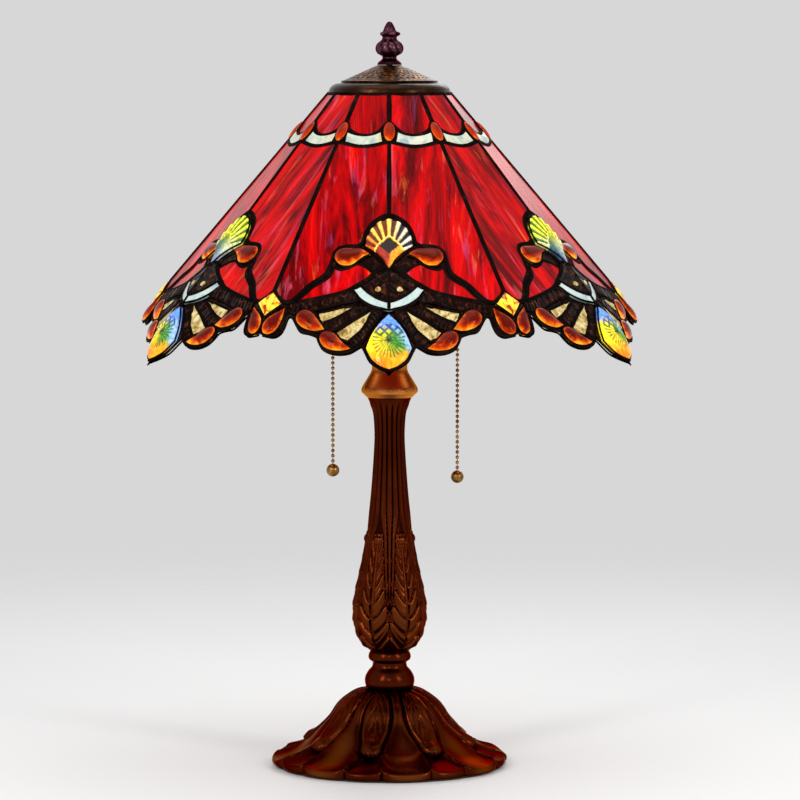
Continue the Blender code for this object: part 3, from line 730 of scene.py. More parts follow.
def jewelCell(x, z):
    # the cut faces of the jewel: rays below its heart, small pyramids above
    heart = jewelSettings["heart"]
    dx, dz = x - heart[0], z - heart[1]
    distance = math.hypot(dx, dz)
    if dz < 0.35 * abs(dx) + 1.0:
        ray = math.atan2(dx, -dz) / math.pi * jewelSettings["rays"]
        return abs(ray - round(ray)) * 2, distance
    u, w = (dx + dz) / jewelSettings["pyramid"], (dx - dz) / jewelSettings["pyramid"]
    return max(abs(u - round(u)), abs(w - round(w))) * 2, distance


def jewelHeight(x, z):
    cell, distance = jewelCell(x, z)
    dome = jewelSettings["rise"] * max(0, 1 - (distance / jewelSettings["domeReach"]) ** 2)
    fade = min(max((jewelSettings["cutReach"] - distance) / 2.5, 0), 1)
    return 0.5 + dome - cell * jewelSettings["cut"] * fade


def jewelTint(x, z):
    # amber at the foot and left, green on the right, blue at the top, dark cuts round the heart
    cell, distance = jewelCell(x, z)
    rise = (z - 337) / 40 + 0.02 * math.sin(x * 1.3)
    left = mixTint((0.85, 0.20, 0.005), (0.95, 0.72, 0.02), (rise - 0.12) * 4.5)
    right = mixTint((0.90, 0.34, 0.01), (0.06, 0.30, 0.02), (rise - 0.18) * 5)
    right = mixTint(right, (0.30, 0.48, 0.85), (rise - 0.50) * 4 + (x - 6) / 8)
    colour = mixTint(left, right, (x + 2.5) / 6)
    colour = mixTint(colour, (0.10, 0.26, 0.72), (rise - 0.66) * 7)
    if distance < 12.5:
        deep = mixTint((0.04, 0.13, 0.02), (0.02, 0.05, 0.30), (rise - 0.62) * 8)
        deep = mixTint((0.55, 0.14, 0.005), deep, (rise - 0.16) * 5 + (x + 4) / 9)
        colour = mixTint(colour, deep, (cell - 0.40) * 2.6)
        colour = mixTint((0.01, 0.05, 0.02), colour, (distance - 1.0) / 3.2)
    return colour


def makeJewel():
    return reliefPlate(seamCuts["jewel"], jewelSettings["cell"], jewelHeight, jewelTint)


# glass colours

def glassMaterial(name, roughness, glow):
    # painted light: every glass piece glows by emission, standing in for the bulbs' light that shines through
    # it
    material, nodes, links, shader = newMaterial(name)
    shader.inputs["Roughness"].default_value = roughness
    shader.inputs["IOR"].default_value = 1.52
    shader.inputs["Specular IOR Level"].default_value = 0.20
    shader.inputs["Emission Strength"].default_value = glow
    return material, nodes, links, shader


def colourGlass(links, shader, colour):
    # the colour also sets the emission: a painted glow on glass and vents, a bulb's own light on the bulbs
    links.new(colour, shader.inputs["Base Color"])
    links.new(colour, shader.inputs["Emission Color"])


def makeRedGlass():
    # long streaks run down each panel: deep and bright reds, rose, mauve and a little orange
    material, nodes, links, shader = glassMaterial("streakyRed", 0.16, 0.20)
    shader.inputs["Specular IOR Level"].default_value = 0.14
    shader.inputs["Specular Tint"].default_value = (1.0, 0.10, 0.08, 1)
    broad = textureSpace(nodes, links, "UV", (4.6, 1.05, 1), (0, 0, 0.16))
    fine = textureSpace(nodes, links, "UV", (13.0, 2.0, 1), (0, 0, 0.16))
    base = addRamp(nodes, links, addNoise(nodes, links, broad, 1.0, 7, 0.66, 0.9),
                   [(0.33, (0.030, 0.0, 0.001)), (0.42, (0.13, 0.0, 0.001)), (0.49, (0.33, 0.0, 0.001)),
                    (0.57, (0.56, 0.0, 0.001)), (0.66, (0.72, 0.004, 0.001)), (0.74, (0.84, 0.13, 0.006))])
    rose = addRange(nodes, links, addNoise(nodes, links, fine, 1.0, 5, 0.6, 0.9), 0.55, 0.70, 0.0, 0.62)
    tint = addRamp(nodes, links, addNoise(nodes, links, broad, 1.7, 2, 0.5),
                   [(0.38, (0.86, 0.17, 0.02)), (0.47, (0.82, 0.09, 0.15)), (0.58, (0.34, 0.05, 0.18))])
    dark = addRange(nodes, links, addNoise(nodes, links, fine, 0.7, 4, 0.6, 0.6), 0.56, 0.70, 0.0, 0.65)
    colour = addMix(nodes, links, rose, base, tint)
    colour = addMix(nodes, links, dark, colour, (0.05, 0.0, 0.004))
    colourGlass(links, shader, colour)
    addBump(nodes, links, shader, addNoise(nodes, links, fine, 0.8, 3), 0.2, 0.0010)
    return material


def makeTintedGlass(name, stops, scale, glow, roughness=0.08, wavy=0.25, sheen=(1, 1, 1)):
    material, nodes, links, shader = glassMaterial(name, roughness, glow)
    space = textureSpace(nodes, links, "UV", (scale, scale, scale))
    value = addNoise(nodes, links, space, 1.0, 4, 0.55, 0.7)
    colourGlass(links, shader, addRamp(nodes, links, value, stops))
    shader.inputs["Specular Tint"].default_value = (*sheen, 1)
    addBump(nodes, links, shader, addNoise(nodes, links, space, 2.4, 3), wavy, 0.0008)
    return material


def makeJewelGlass(name, glow):
    # the colours lie in the piece and sparkle a little
    material, nodes, links, shader = glassMaterial(name, 0.05, glow)
    tint = nodes.new("ShaderNodeAttribute")
    tint.attribute_name = "tint"
    space = textureSpace(nodes, links, "Object", (420, 420, 300))
    speck = addRange(nodes, links, addNoise(nodes, links, space, 1.0, 2), 0.35, 0.65, 0.72, 1.35)
    colour = nodes.new("ShaderNodeHueSaturation")
    links.new(speck, colour.inputs["Value"])
    links.new(tint.outputs["Color"], colour.inputs["Color"])
    colourGlass(links, shader, colour.outputs["Color"])
    return material


def makeDropGlass(name, stops):
    # bright where the rim gathers light, deep in the middle
    material, nodes, links, shader = glassMaterial(name, 0.06, 0.36)
    shader.inputs["Specular Tint"].default_value = (1.0, 0.45, 0.18, 1)
    # painted light: the dome value of each cabochon, bright at the rim, deep in the middle and towards the
    # top
    dome = nodes.new("ShaderNodeAttribute")
    dome.attribute_name = "dome"
    space = textureSpace(nodes, links, "UV", (12, 12, 1))
    stir = nodes.new("ShaderNodeMath")
    stir.operation = "MULTIPLY_ADD"
    links.new(addNoise(nodes, links, space, 1.0, 3, 0.5, 0.8), stir.inputs[0])
    stir.inputs[1].default_value = 0.9
    stir.inputs[2].default_value = -0.45
    total = nodes.new("ShaderNodeMath")
    total.operation = "ADD"
    links.new(dome.outputs["Fac"], total.inputs[0])
    links.new(stir.outputs["Value"], total.inputs[1])
    colourGlass(links, shader, addRamp(nodes, links, total.outputs["Value"], stops))
    return material


def makeGlassMaterials():
    return {
        "red": makeRedGlass(),
        "white": makeTintedGlass("whiteBand", [(0.34, (0.24, 0.34, 0.40)), (0.46, (0.42, 0.48, 0.38)),
                                               (0.58, (0.58, 0.60, 0.50)), (0.70, (0.52, 0.46, 0.18))],
                                 9.0, 0.25, 0.12),
        "pearl": makeTintedGlass("pearlGlass", [(0.32, (0.28, 0.40, 0.42)), (0.5, (0.48, 0.60, 0.57)),
                                                (0.68, (0.62, 0.66, 0.60))], 10.0, 0.18, 0.15),
        "amber": makeDropGlass("amberGlass", [(0.02, (0.95, 0.42, 0.02)), (0.15, (0.80, 0.17, 0.004)),
                                              (0.36, (0.36, 0.018, 0.001)), (0.62, (0.09, 0.002, 0.001))]),
        "ovals": makeDropGlass("ovalAmber", [(0.02, (0.80, 0.18, 0.008)), (0.25, (0.52, 0.03, 0.002)),
                                             (0.70, (0.18, 0.006, 0.001))]),
        "diamond": makeTintedGlass("diamondGlass", [(0.40, (0.30, 0.03, 0.005)), (0.46, (0.80, 0.30, 0.01)),
                                                    (0.52, (0.92, 0.66, 0.03)), (0.70, (0.94, 0.78, 0.10))],
                                   16.0, 0.3, 0.06, 0.2),
        "wedge": makeTintedGlass("wedgeGlass", [(0.36, (0.20, 0.11, 0.02)), (0.47, (0.42, 0.29, 0.08)),
                                                (0.58, (0.62, 0.50, 0.22)), (0.72, (0.78, 0.72, 0.48))],
                                 22.0, 0.2, 0.1, 0.6),
        "dark": makeTintedGlass("darkGlass", [(0.44, (0.0025, 0.0008, 0.0006)),
                                              (0.56, (0.014, 0.003, 0.0015)),
                                              (0.70, (0.11, 0.022, 0.008))], 26.0, 0.02, 0.16, 0.3,
                                sheen=(0.22, 0.10, 0.07)),
        "jewel": makeJewelGlass("jewelGlass", 0.4),
        "shell": makeJewelGlass("shellGlass", 0.4),
    }


def makeLeadFinish():
    material, nodes, links, shader = newMaterial("darkSolder")
    space = textureSpace(nodes, links)
    colour = addRamp(nodes, links, addNoise(nodes, links, space, 90, 4),
                     [(0.35, (0.003, 0.0015, 0.0012)), (0.6, (0.008, 0.0045, 0.0038)),
                      (0.8, (0.035, 0.022, 0.016))])
    links.new(colour, shader.inputs["Base Color"])
    shader.inputs["Metallic"].default_value = 0.85
    shader.inputs["Specular Tint"].default_value = (0.30, 0.20, 0.16, 1)
    links.new(addRange(nodes, links, addNoise(nodes, links, space, 160, 2), 0.3, 0.7, 0.28, 0.5),
              shader.inputs["Roughness"])
    addBump(nodes, links, shader, addNoise(nodes, links, space, 240, 3), 0.4, 0.0006)
    return material


# turned and cast metal pieces

def smoothProfile(points, spacing):
    # a rounded profile through the points, cut into even steps; lengths in millimetres
    dense = []
    for i in range(len(points) - 1):
        a, b = points[i], points[i + 1]
        before = points[i - 1] if i else beyond(a, b)
        after = points[i + 2] if i + 2 < len(points) else beyond(b, a)
        steps = max(1, round(math.dist(a, b) / spacing))
        dense += [curvePoint(before, a, b, after, step / steps) for step in range(steps)]
    dense.append(points[-1])
    return dense


def lathe(outer, inner, segments):
    # outer and inner walls in millimetres; together they make one closed ring that is spun
    bm = bmesh.new()
    verts = [bm.verts.new((radius * mm, 0, z * mm)) for radius, z in outer + inner]
    edges = [bm.edges.new(pair) for pair in zip(verts, verts[1:] + verts[:1])]
    bmesh.ops.spin(bm, geom=verts + edges, cent=(0, 0, 0), axis=(0, 0, 1), angle=math.tau, steps=segments,
                   use_merge=True)
    bmesh.ops.remove_doubles(bm, verts=bm.verts, dist=1e-6)
    bmesh.ops.dissolve_degenerate(bm, edges=bm.edges, dist=1e-7)
    bmesh.ops.recalc_face_normals(bm, faces=bm.faces)
    return bm


def carve(bm, relief, inner=0.0):
    # push each point of the outer wall along its normal; relief gets the turn, the radius and the height
    layer = bm.verts.layers.float.new("relief")
    bm.normal_update()
    moves = []
    for v in bm.verts:
        radius = math.hypot(v.co.x, v.co.y) / mm
        if radius > inner:
            v[layer] = relief(math.atan2(v.co.y, v.co.x), radius, v.co.z / mm)
            moves.append((v, v.normal * v[layer] * mm))
    for v, move in moves:
        v.co += move


def smoothStep(value, low, high):
    t = min(max((value - low) / (high - low), 0), 1)
    return t * t * (3 - 2 * t)


def between(value, table):
    # read off a table of places and values
    for (a, va), (b, vb) in zip(table, table[1:]):
        if value <= b:
            return va + (vb - va) * min(max((value - a) / (b - a), 0), 1)
    return table[-1][1]


def swell(value, centre, width):
    # one at the centre, falling off smoothly on both sides
    return math.exp(-((value - centre) / width) ** 2)


pipeRadius = 5.3                     # the bore of every casting on the stem pipe

footSettings = {"gores": 8, "firstGore": math.radians(-81), "rimHalf": 12.75,        # half widths in degrees
                "leafHalf": [(16, 5.0), (22, 9.0), (32, 13.2), (43, 14.6), (52, 12.0), (60, 8.2), (66, 7.4),
                             (69, 5.9), (70.6, 3.6), (71.4, 0.0)],
                "outer": [(pipeRadius, 61.0), (15.5, 61.0), (22.0, 60.0), (29.7, 57.0), (40.0, 49.0),
                          (48.0, 37.5), (59.0, 26.6), (66.0, 20.8), (73.0, 16.2), (80.0, 12.9), (86.0, 10.9),
                          (91.0, 9.8), (94.0, 9.3), (95.5, 8.0), (95.7, 5.4), (95.3, 3.0), (94.0, 1.6)],
                "inner": [(91.2, 1.6), (89.0, 4.6), (80.0, 6.2), (68.0, 11.6), (56.0, 20.0), (44.0, 32.4),
                          (34.0, 44.6), (20.0, 52.4), (pipeRadius, 53.1)],
                "leafRise": 2.4, "tipKnob": 2.0, "vein": 0.9, "midGroove": 0.5, "edgeGroove": 1.7,
                "ridge": 2.0, "dish": 2.4, "lip": 1.9, "step": 0.8, "hollow": 1.2, "paintedHighlight": 3.6, "boss": 4.2,
                "bushingHeight": 7.2, "bushingHole": 3.4}
halfSector = 180 / footSettings["gores"]        # degrees from the middle of a gore to the middle of a leaf


def footPlace(x, y):
    # radius, and degrees away from the middle of the nearest plain gore
    degrees = math.degrees(math.atan2(y, x) - footSettings["firstGore"])
    return math.hypot(x, y) / mm, abs((degrees + halfSector) % (2 * halfSector) - halfSector)


def leafRelief(radius, across, outside):
    # an acanthus leaf: rounded edge, a knob at its tip, slanting veins and a groove down its middle
    rim = min(-outside / 3.2, 1)
    height = footSettings["leafRise"] * math.sqrt(1 - (1 - rim) ** 2) * smoothStep(radius, 15, 23)
    height += footSettings["tipKnob"] * swell(radius, 65.5, 4.6) * swell(across, 0, 5.0) * min(rim * 2, 1)
    vein = max(math.cos((radius - 1.9 * across) / 8.5 * math.tau), 0) ** 4
    vein *= smoothStep(across, 0.5, 1.4) * (1 - smoothStep(across, 4.5, 7.5))
    vein *= smoothStep(radius, 20, 26) * (1 - smoothStep(radius, 50, 60))
    height -= footSettings["vein"] * vein * rim
    groove = swell(across, 0, 0.55) * smoothStep(radius, 18, 24) * (1 - smoothStep(radius, 52, 62))
    return height - footSettings["midGroove"] * groove


def footRelief(radius, away):
    # leaves high up, smooth gores between them, and narrow dips between the gores at the rim
    fromLeaf = halfSector - away
    across = math.radians(fromLeaf) * radius                      # millimetres from the leaf's middle
    leafHalf = between(radius, footSettings["leafHalf"])
    outside = math.radians(fromLeaf - leafHalf) * radius          # millimetres outside the leaf's edge
    if radius < 72 and outside < 0:
        return leafRelief(radius, across, outside)
    rimShare = min(max((radius - 60) / 32, 0), 1)
    goreHalf = (halfSector - between(min(radius, 60), footSettings["leafHalf"])) * (1 - rimShare)
    goreHalf += footSettings["rimHalf"] * rimShare
    height = -footSettings["edgeGroove"] * swell(outside, 1.0, 1.1)
    height *= smoothStep(radius, 18, 26) * (1 - smoothStep(radius, 71, 75))
    dish = smoothStep(radius, 60, 84)
    share = away / goreHalf
    if share < 1:
        ridge = (1 - smoothStep(radius, 48, 70)) * smoothStep(radius, 15, 20)
        height += (footSettings["ridge"] * ridge - footSettings["dish"] * dish) * (1 - share ** 2)
        return height + footSettings["lip"] * dish * share ** 6
    share = fromLeaf / (halfSector - goreHalf)
    height -= smoothStep(radius, 62, 76) * (footSettings["step"] + footSettings["hollow"] * (1 - share ** 2))
    return height + footSettings["lip"] * dish * share ** 6


def bossAt(x, y):
    # the casting rises over the cord bushing at the rear
    if y < 0:
        return 0.0
    return (1 - smoothStep(abs(x) / mm, 3.6, 9.0)) * smoothStep(math.hypot(x, y) / mm, 74, 84)


def makeFoot(bronze):
    bm = lathe(smoothProfile(footSettings["outer"], 0.75), footSettings["inner"], 448)
    layer = bm.verts.layers.float.new("relief")
    bm.normal_update()
    for v, normal in [(v, v.normal.copy()) for v in bm.verts]:
        radius, away = footPlace(v.co.x, v.co.y)
        if radius > 15 and (normal.z > 0.02 or radius > 93):
            height = footRelief(radius, away) * mm
            up = smoothStep(radius, 68, 82)
            # painted highlight: a golden patch in the middle of each gore towards the rim, added to the
            # relief value that the bronze reads
            paintedHighlightPatch = max(1 - (away / footSettings["rimHalf"]) ** 2, 0) ** 2 * smoothStep(radius, 50, 74)
            v[layer] = min(height / mm, 0.4 * height / mm) * (1 - up) + footSettings["paintedHighlight"] * paintedHighlightPatch
            height += footSettings["boss"] * mm * bossAt(v.co.x, v.co.y)
            v.co += normal * height * (1 - up) + Vector((0, 0, height * up * smoothStep(v.co.z / mm, 2.5, 8)))
        if radius > 86:
            plain = away < footSettings["rimHalf"]
            share = away / footSettings["rimHalf"]
            if not plain:
                share = (halfSector - away) / (halfSector - footSettings["rimHalf"])
            pull = 1.3 * share ** 2 + 2.8 * share ** 9 + (0.0 if plain else 0.8)      # the rim's scallops
            pull *= smoothStep(radius, 86, 94.5) * (1 - bossAt(v.co.x, v.co.y))
            v.co.x *= 1 - pull / radius
            v.co.y *= 1 - pull / radius
    hole = []                                                      # the cord bushing passes through here
    for f in bm.faces:
        middle = f.calc_center_median() / mm
        away = math.hypot(middle.x, middle.z - footSettings["bushingHeight"])
        if middle.y > 0 and away < footSettings["bushingHole"]:
            hole.append(f)
    bmesh.ops.delete(bm, geom=hole, context="FACES")
    finishPiece("foot", bm, bronze, "stem", ("foot_casting",), 50)


columnSettings = {"profile": [(16.0, 93.0), (19.0, 96.4), (24.0, 104.0), (27.4, 114.0), (28.4, 124.5),
                              (27.4, 136.5), (23.0, 161.0), (18.6, 187.0), (15.7, 210.0), (13.7, 232.0),
                              (11.9, 260.0), (11.8, 273.0), (12.9, 286.0), (15.4, 293.0), (17.7, 298.0)],
                  "halfLeaf": 30,                                 # degrees; six leaves stand round the column
                  "bundleHalf": [(121, 0.0), (140, 7.0), (160, 11.0), (187, 16.0), (205, 30.0)],
                  "midribHalf": [(96, 1.4), (112, 2.8), (135, 3.6), (165, 4.0), (187, 4.6)],
                  "lobePitch": 12.8, "lobeBase": 84.0, "lobeSweep": 15.0, "lobe": 3.2, "lobeVein": 0.45,
                  "rib": 1.7, "midrib": 0.8, "curl": 1.8, "curlHeight": 184.5, "leafTop": 190}


def columnRelief(turned, radius, z):
    # a bundle of three ribs in the middle of each sixth, an acanthus half on both sides of it
    halfLeaf = columnSettings["halfLeaf"]
    away = math.degrees((turned - front + math.radians(halfLeaf)) % math.radians(2 * halfLeaf)) - halfLeaf
    half = between(z, columnSettings["bundleHalf"])
    fade = smoothStep(z, 94, 99) * (1 - smoothStep(z, 291, 296.5))
    fromMidrib = halfLeaf - abs(away)
    curl = 1 - ((z - columnSettings["curlHeight"]) / 3.0) ** 2 - ((fromMidrib - 3.5) / 8.0) ** 2
    curl = columnSettings["curl"] * math.sqrt(max(0, curl))       # the tip of each leaf rolls outwards
    if abs(away) < half or z > columnSettings["leafTop"]:
        place = away / max(half, 0.01) * 1.5
        place -= max(min(round(place), 1), -1)
        rib = columnSettings["rib"] * (max(0, 1 - (2 * place) ** 2) ** 0.7 - 0.6)
        return fade * (max(rib, curl) if curl > 0 and z > columnSettings["curlHeight"] else rib)
    midribHalf = between(z, columnSettings["midribHalf"])
    if fromMidrib < midribHalf:
        midrib = columnSettings["midrib"] * math.sqrt(1 - (fromMidrib / midribHalf) ** 2)
        return fade * max(midrib - 0.3 * smoothStep(z, 150, 184), curl)
    share = (fromMidrib - midribHalf) / max(halfLeaf - half - midribHalf, 0.01)
    return fade * max(lobeRelief(share, z) - 0.5, curl)


def lobeRelief(share, z):
    # rows of lobes sweep up from the midrib, each with a vein; they are lower towards the top
    above = z - columnSettings["lobeBase"] - columnSettings["lobeSweep"] * share ** 1.5
    row = above / columnSettings["lobePitch"]
    local = row - math.floor(row)
    width = math.sqrt(max(0.0, 1 - (max(share - 0.55, 0) / 0.45) ** 2))
    spot = (local - 0.5) * 2 / max(width, 0.05)
    if abs(spot) >= 1:
        return 0.0
    lobe = columnSettings["lobe"] * (1 - spot ** 4) ** 0.5 * (0.55 + 0.45 * local)
    lobe -= columnSettings["lobeVein"] * swell(spot, 0, 0.14)
    return lobe * (1 - 0.6 * smoothStep(z, 128, 182))


def pipeBore(profile):
    # a straight bore from the top of a profile to its foot
    return [(pipeRadius, profile[-1][1]), (pipeRadius, profile[0][1])]


def makeColumn(bronze):
    outer = smoothProfile(columnSettings["profile"], 0.85)
    bm = lathe(outer, pipeBore(columnSettings["profile"]), 300)
    carve(bm, columnRelief, 8.0)
    finishPiece("fluted_column", bm, bronze, "stem", ("column",), 50)


knopProfile = [(15.0, 61.3), (17.6, 62.0), (19.8, 65.6), (19.9, 71.0), (17.4, 76.2), (14.2, 80.0),
               (13.9, 83.6), (16.4, 85.6), (17.2, 87.9), (16.6, 90.8), (15.4, 92.7)]
collarProfile = [(17.0, 298.3), (18.4, 298.7), (20.4, 300.6), (22.4, 302.6), (22.7, 304.4), (21.8, 307.4),
                 (18.6, 312.8), (15.3, 318.4), (14.2, 322.4), (14.9, 326.6), (16.9, 330.2), (18.2, 331.4),
                 (18.6, 332.6), (18.2, 333.9)]
fanSettings = {"pitch": 20, "height": 304.6, "depth": 0.22, "fineness": 4.2}
finialProfile = [(3.0, 565.3), (9.4, 565.3), (9.7, 566.2), (8.6, 567.8), (6.2, 569.8), (5.7, 571.6),
                 (7.2, 573.4), (9.6, 575.6), (10.4, 578.2), (9.7, 581.0), (7.4, 584.0), (6.0, 586.0),
                 (5.9, 587.6), (7.6, 589.2), (7.9, 590.4), (6.6, 591.4), (5.2, 592.6), (4.0, 595.6),
                 (2.0, 599.0), (0.0, 600.0)]
finialSettings = {"lobes": 5, "gadroon": 0.9, "twist": 0.16, "petal": 0.8}


def collarRelief(turned, radius, z):
    # small fans lie above the widest rim
    pitch = fanSettings["pitch"]
    fan = (math.degrees(turned - front) + pitch / 2) % pitch - pitch / 2
    reach = math.hypot(math.radians(fan) * radius, z - fanSettings["height"])
    ring = math.cos(reach * fanSettings["fineness"]) * swell(reach, 1.6, 1.7)
    return fanSettings["depth"] * ring * smoothStep(z, 303.6, 305)


def finialRelief(turned, radius, z):
    # twisted gadroons round the belly, and petals under the tip
    around = turned * finialSettings["lobes"]
    belly = smoothStep(z, 571.5, 575) * (1 - smoothStep(z, 582, 585.5))
    gadroon = finialSettings["gadroon"] * abs(math.cos(around + (z - 578) * finialSettings["twist"])) * belly
    return gadroon + finialSettings["petal"] * math.cos(around) * swell(z, 590.0, 1.5)


def makeTurnings(metals):
    knop = lathe(smoothProfile(knopProfile, 0.7), pipeBore(knopProfile), 96)
    finishPiece("knop", knop, metals["bronze"], "stem", ("lower_knop",), 50)
    collar = lathe(smoothProfile(collarProfile, 0.55), pipeBore(collarProfile), 288)
    carve(collar, collarRelief, 12.0)
    finishPiece("collar", collar, metals["copper"], "stem", ("neck_collar",), 50)
    finial = lathe(smoothProfile(finialProfile, 0.45), [(0.0, 583.0), (3.0, 583.0)], 120)
    carve(finial, finialRelief, 3.5)
    finishPiece("finial_casting", finial, metals["plum"], "finial", ("finial",), 50)
    makeCap(metals)


capSettings = {"cone": [(3.2, 565.0), (9.8, 565.0), (37.2, 552.7)],
               "shoulder": [(37.2, 552.7), (38.3, 552.9), (38.9, 552.2), (38.6, 551.3), (39.6, 550.7),
                            (42.6, 550.3), (45.6, 548.9), (47.8, 546.6), (48.9, 543.5)],
               "inner": [(47.5, 543.5), (45.0, 546.0), (39.4, 548.8), (36.4, 550.7), (9.5, 563.6),
                         (3.2, 563.6)],
               "pierced": (12.5, 34.0), "segments": 72, "row": 1.75, "shoulderFrom": 37.4,
               "rim": 0.12, "chamfer": 0.08, "depth": 0.9}


def makeCap(metals):
    # a cone with rows of sunk vents over a plain rounded shoulder; the floor of each vent is painted glowing,
    # as the bulbs' light seen through a hole
    cone = smoothProfile(capSettings["cone"][1:], capSettings["row"])
    outer = capSettings["cone"][:1] + cone[:-1] + smoothProfile(capSettings["shoulder"], 0.6)
    bm = lathe(outer, capSettings["inner"], capSettings["segments"])
    pitch = math.tau / capSettings["segments"]
    slope = capSettings["cone"][-1][0] - capSettings["cone"][1][0]
    rows = len(cone) - 1
    paintedVentFaces = []
    for f in bm.faces:
        middle = f.calc_center_median()
        radius = math.hypot(middle.x, middle.y) / mm
        if radius > capSettings["shoulderFrom"]:
            f.material_index = 1
        row = round((radius - capSettings["cone"][1][0]) / slope * rows - 0.5)
        place = round(math.atan2(middle.y, middle.x) / pitch - 0.5)
        pierced = capSettings["pierced"][0] < radius < capSettings["pierced"][1] and f.normal.z > 0.2
        if pierced and row % 2 and (place + row // 2) % 2:
            paintedVentFaces.append(f)
    bmesh.ops.inset_individual(bm, faces=paintedVentFaces, thickness=capSettings["rim"] * mm, depth=0)
    bmesh.ops.inset_individual(bm, faces=paintedVentFaces, thickness=capSettings["chamfer"] * mm,
                               depth=-capSettings["depth"] * mm)
    for f in paintedVentFaces:
        f.material_index = 2
    cap = finishPiece("vented_cap", bm, metals["antique"], "shade", ("heat_cap",), 40)
    cap.data.materials.append(metals["shoulder"])
    # painted light: the sunk vent floors glow warm
    cap.data.materials.append(makeLitFinish("paintedVentGlow", 60, 2, [(0.42, (0.10, 0.012, 0.002)),
                                                                (0.60, (0.75, 0.20, 0.02))], 0.6, 0.5))


def makeLitFinish(name, scale, detail, stops, glow, roughness):
    # an emissive surface: the bulbs' own light, and on the cap's vents a painted glow of the bulbs' light
    # seen through them
    material, nodes, links, shader = newMaterial(name)
    colour = addRamp(nodes, links, addNoise(nodes, links, textureSpace(nodes, links), scale, detail), stops)
    colourGlass(links, shader, colour)
    shader.inputs["Emission Strength"].default_value = glow
    shader.inputs["Roughness"].default_value = roughness
    return material


chainSettings = {"pitch": 4.1, "bead": 1.5, "wire": 0.32, "neckLow": 1.6, "neckHigh": 1.1, "neckTall": 1.6,
                 "neckSunk": 0.6}


def makeChain(side, brass):
    # the stretch that slides in the guide, the stretch that swings, and the ball
    for node, body in (("chain_top_" + side, "pull_" + side), ("chain_" + side, "drop_" + side)):
        low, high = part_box(node)
        middle = (low + high) / 2
        length = (high.z - low.z) / mm
        count = max(2, round(length / chainSettings["pitch"]))
        pitch = length / count
        bm = bmesh.new()
        for i in range(count):
            z = high.z - (i + 0.5) * pitch * mm
            bmesh.ops.create_uvsphere(bm, u_segments=12, v_segments=8, radius=chainSettings["bead"] * mm,
                                      matrix=Matrix.Translation((middle.x, middle.y, z)))
        bmesh.ops.create_cone(bm, cap_ends=True, segments=8, radius1=chainSettings["wire"] * mm,
                              radius2=chainSettings["wire"] * mm, depth=high.z - low.z,
                              matrix=Matrix.Translation(middle))
        finishPiece(node + "_beads", bm, brass, body, (node,), 50)
    low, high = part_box("chain_ball_" + side)
    middle, radius = (low + high) / 2, (high.z - low.z) / 2
    bm = bmesh.new()
    bmesh.ops.create_uvsphere(bm, u_segments=32, v_segments=20, radius=radius,
                              matrix=Matrix.Translation(middle))
    neck = middle + Vector((0, 0, radius - chainSettings["neckSunk"] * mm))
    bmesh.ops.create_cone(bm, cap_ends=True, segments=20, radius1=chainSettings["neckLow"] * mm,
                          radius2=chainSettings["neckHigh"] * mm, depth=chainSettings["neckTall"] * mm,
                          matrix=Matrix.Translation(neck))
    finishPiece("pull_ball_" + side, bm, brass, "drop_" + side, ("chain_ball_" + side,), 50)


# metal finishes

def makeMetal(name, stops, roughness, scale, metallic, bumpStrength, sheen=(1, 1, 1), hollowsAndHighlight=None):
    # the relief value makes metals darker in the hollows of the relief, and paints a highlight in a brighter
    # colour on its ridges
    material, nodes, links, shader = newMaterial(name)
    space = textureSpace(nodes, links)
    colour = addRamp(nodes, links, addNoise(nodes, links, space, scale, 5), stops)
    if hollowsAndHighlight:
        hollow, ridge, reach = hollowsAndHighlight
        relief = nodes.new("ShaderNodeAttribute")
        relief.attribute_name = "relief"
        deep = addRange(nodes, links, relief.outputs["Fac"], -reach, 0.0, 0.9, 0.0)
        # painted highlight: the ridge colour spreads over the raised relief
        paintedHighlightShare = addRange(nodes, links, relief.outputs["Fac"], 0.3 * reach, 2.6 * reach, 0.0, 0.55)
        colour = addMix(nodes, links, paintedHighlightShare, addMix(nodes, links, deep, colour, hollow), ridge)
    links.new(colour, shader.inputs["Base Color"])
    low, high = roughness
    links.new(addRange(nodes, links, addNoise(nodes, links, space, scale * 2.5, 3), 0.35, 0.65, low, high),
              shader.inputs["Roughness"])
    shader.inputs["Metallic"].default_value = metallic
    shader.inputs["Specular Tint"].default_value = (*sheen, 1)
    addBump(nodes, links, shader, addNoise(nodes, links, space, scale * 7, 3), bumpStrength, 0.0005)
    return material


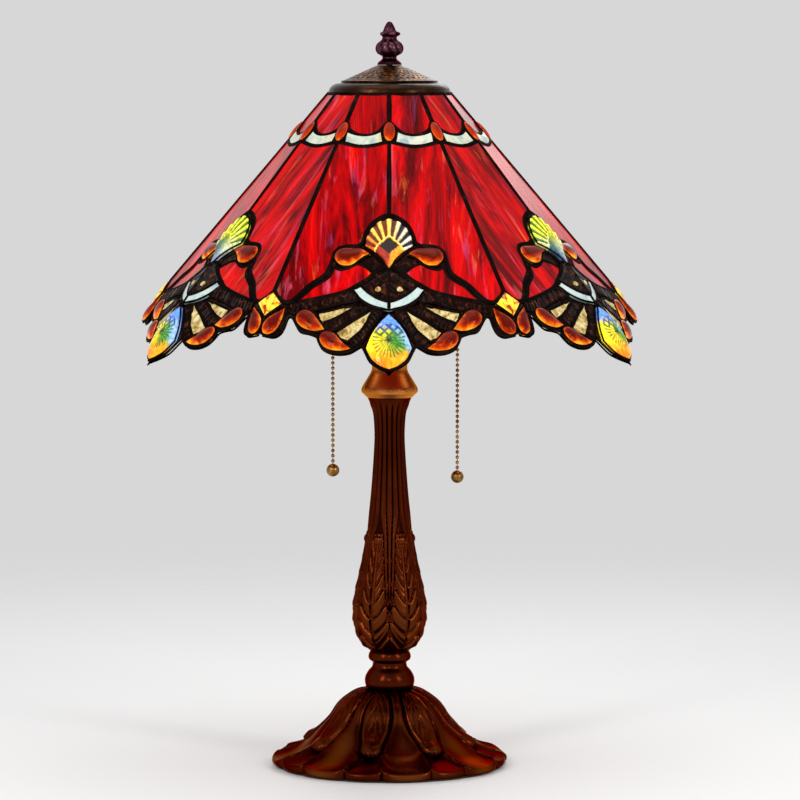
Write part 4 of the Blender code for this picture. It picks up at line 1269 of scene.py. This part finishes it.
def makeMetals():
    return {
        # the last entry of the bronze, copper and plum finishes: colour in the hollows, painted highlight
        # colour on the raised relief, and the relief height that scales both
        "bronze": makeMetal("mahoganyBronze", [(0.30, (0.042, 0.0046, 0.0013)),
                                               (0.52, (0.062, 0.0082, 0.0020)),
                                               (0.74, (0.095, 0.0165, 0.0042))], (0.20, 0.28), 26, 1.0, 0.04,
                            (0.60, 0.37, 0.27), ((0.005, 0.0009, 0.0005), (0.22, 0.060, 0.012), 1.3)),
        "copper": makeMetal("polishedCopper", [(0.30, (0.40, 0.11, 0.022)), (0.52, (0.56, 0.19, 0.042)),
                                               (0.72, (0.72, 0.30, 0.080))], (0.34, 0.42), 30, 1.0, 0.04,
                            (1.0, 0.62, 0.32), ((0.06, 0.012, 0.003), (0.75, 0.40, 0.14), 0.25)),
        "antique": makeMetal("antiqueBronze", [(0.38, (0.018, 0.007, 0.003)), (0.50, (0.105, 0.040, 0.011)),
                                               (0.64, (0.40, 0.18, 0.045))], (0.26, 0.42), 260, 1.0, 0.25),
        "shoulder": makeMetal("darkenedBronze", [(0.34, (0.016, 0.006, 0.003)), (0.52, (0.036, 0.015, 0.007)),
                                                 (0.72, (0.075, 0.036, 0.015))], (0.24, 0.34), 60, 1.0, 0.08),
        "plum": makeMetal("plumBronze", [(0.34, (0.022, 0.006, 0.008)), (0.52, (0.050, 0.014, 0.020)),
                                         (0.72, (0.14, 0.055, 0.075))], (0.18, 0.28), 60, 1.0, 0.06,
                          (0.75, 0.45, 0.55), ((0.006, 0.001, 0.002), (0.32, 0.14, 0.20), 0.6)),
        "brass": makeMetal("agedBrass", [(0.34, (0.16, 0.070, 0.016)), (0.52, (0.32, 0.17, 0.045)),
                                         (0.72, (0.50, 0.32, 0.11))], (0.26, 0.40), 120, 1.0, 0.1),
        "steel": makeMetal("platedSteel", [(0.34, (0.30, 0.29, 0.27)), (0.70, (0.52, 0.51, 0.49))],
                           (0.25, 0.4), 120, 1.0, 0.08),
        "black": makeMetal("blackPhenolic", [(0.34, (0.010, 0.010, 0.010)), (0.70, (0.030, 0.028, 0.027))],
                           (0.35, 0.5), 140, 0.0, 0.1),
        "felt": makeMetal("greenFelt", [(0.34, (0.015, 0.022, 0.016)), (0.70, (0.05, 0.065, 0.05))],
                          (0.85, 0.98), 400, 0.0, 0.8),
    }


def makeBulbGlass():
    stops = [(0.3, (0.95, 0.80, 0.58)), (0.7, (1.0, 0.90, 0.72))]
    return makeLitFinish("frostedBulb", 30, 3, stops, 2.2, 0.35)


frameFinishes = {"steel": ["stem_pipe", "riser_rod", "bulb_base_left", "bulb_base_right"],
                 "brass": ["foot_nut", "cluster_body", "shade_seat", "shade_spider", "holder_shell_left",
                           "holder_shell_right"],
                 "black": ["cord_bushing", "inner_lead", "holder_core_left", "holder_core_right"],
                 "felt": ["felt_pad"]}


def dressFrameNodes(metals, bulb):
    # nodes that keep their own shape take the finish of their kind
    for kind, names in frameFinishes.items():
        for name in names:
            setFinish(name, metals[kind])
    for side in ("left", "right"):
        setFinish("bulb_glass_" + side, bulb)


def setFinish(name, material):
    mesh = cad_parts[name].data
    mesh.materials.clear()
    mesh.materials.append(material)


makeCamera()
makeStage()
leadFinish = makeLeadFinish()
glassMaterials = makeGlassMaterials()
makeLeading(leadFinish)
makeWeb(glassMaterials["dark"])
makeGlass(glassMaterials)
metals = makeMetals()
makeFoot(metals["bronze"])
makeColumn(metals["bronze"])
makeTurnings(metals)
for side in ("left", "right"):
    makeChain(side, metals["brass"])
print("metal done")
dressFrameNodes(metals, makeBulbGlass())
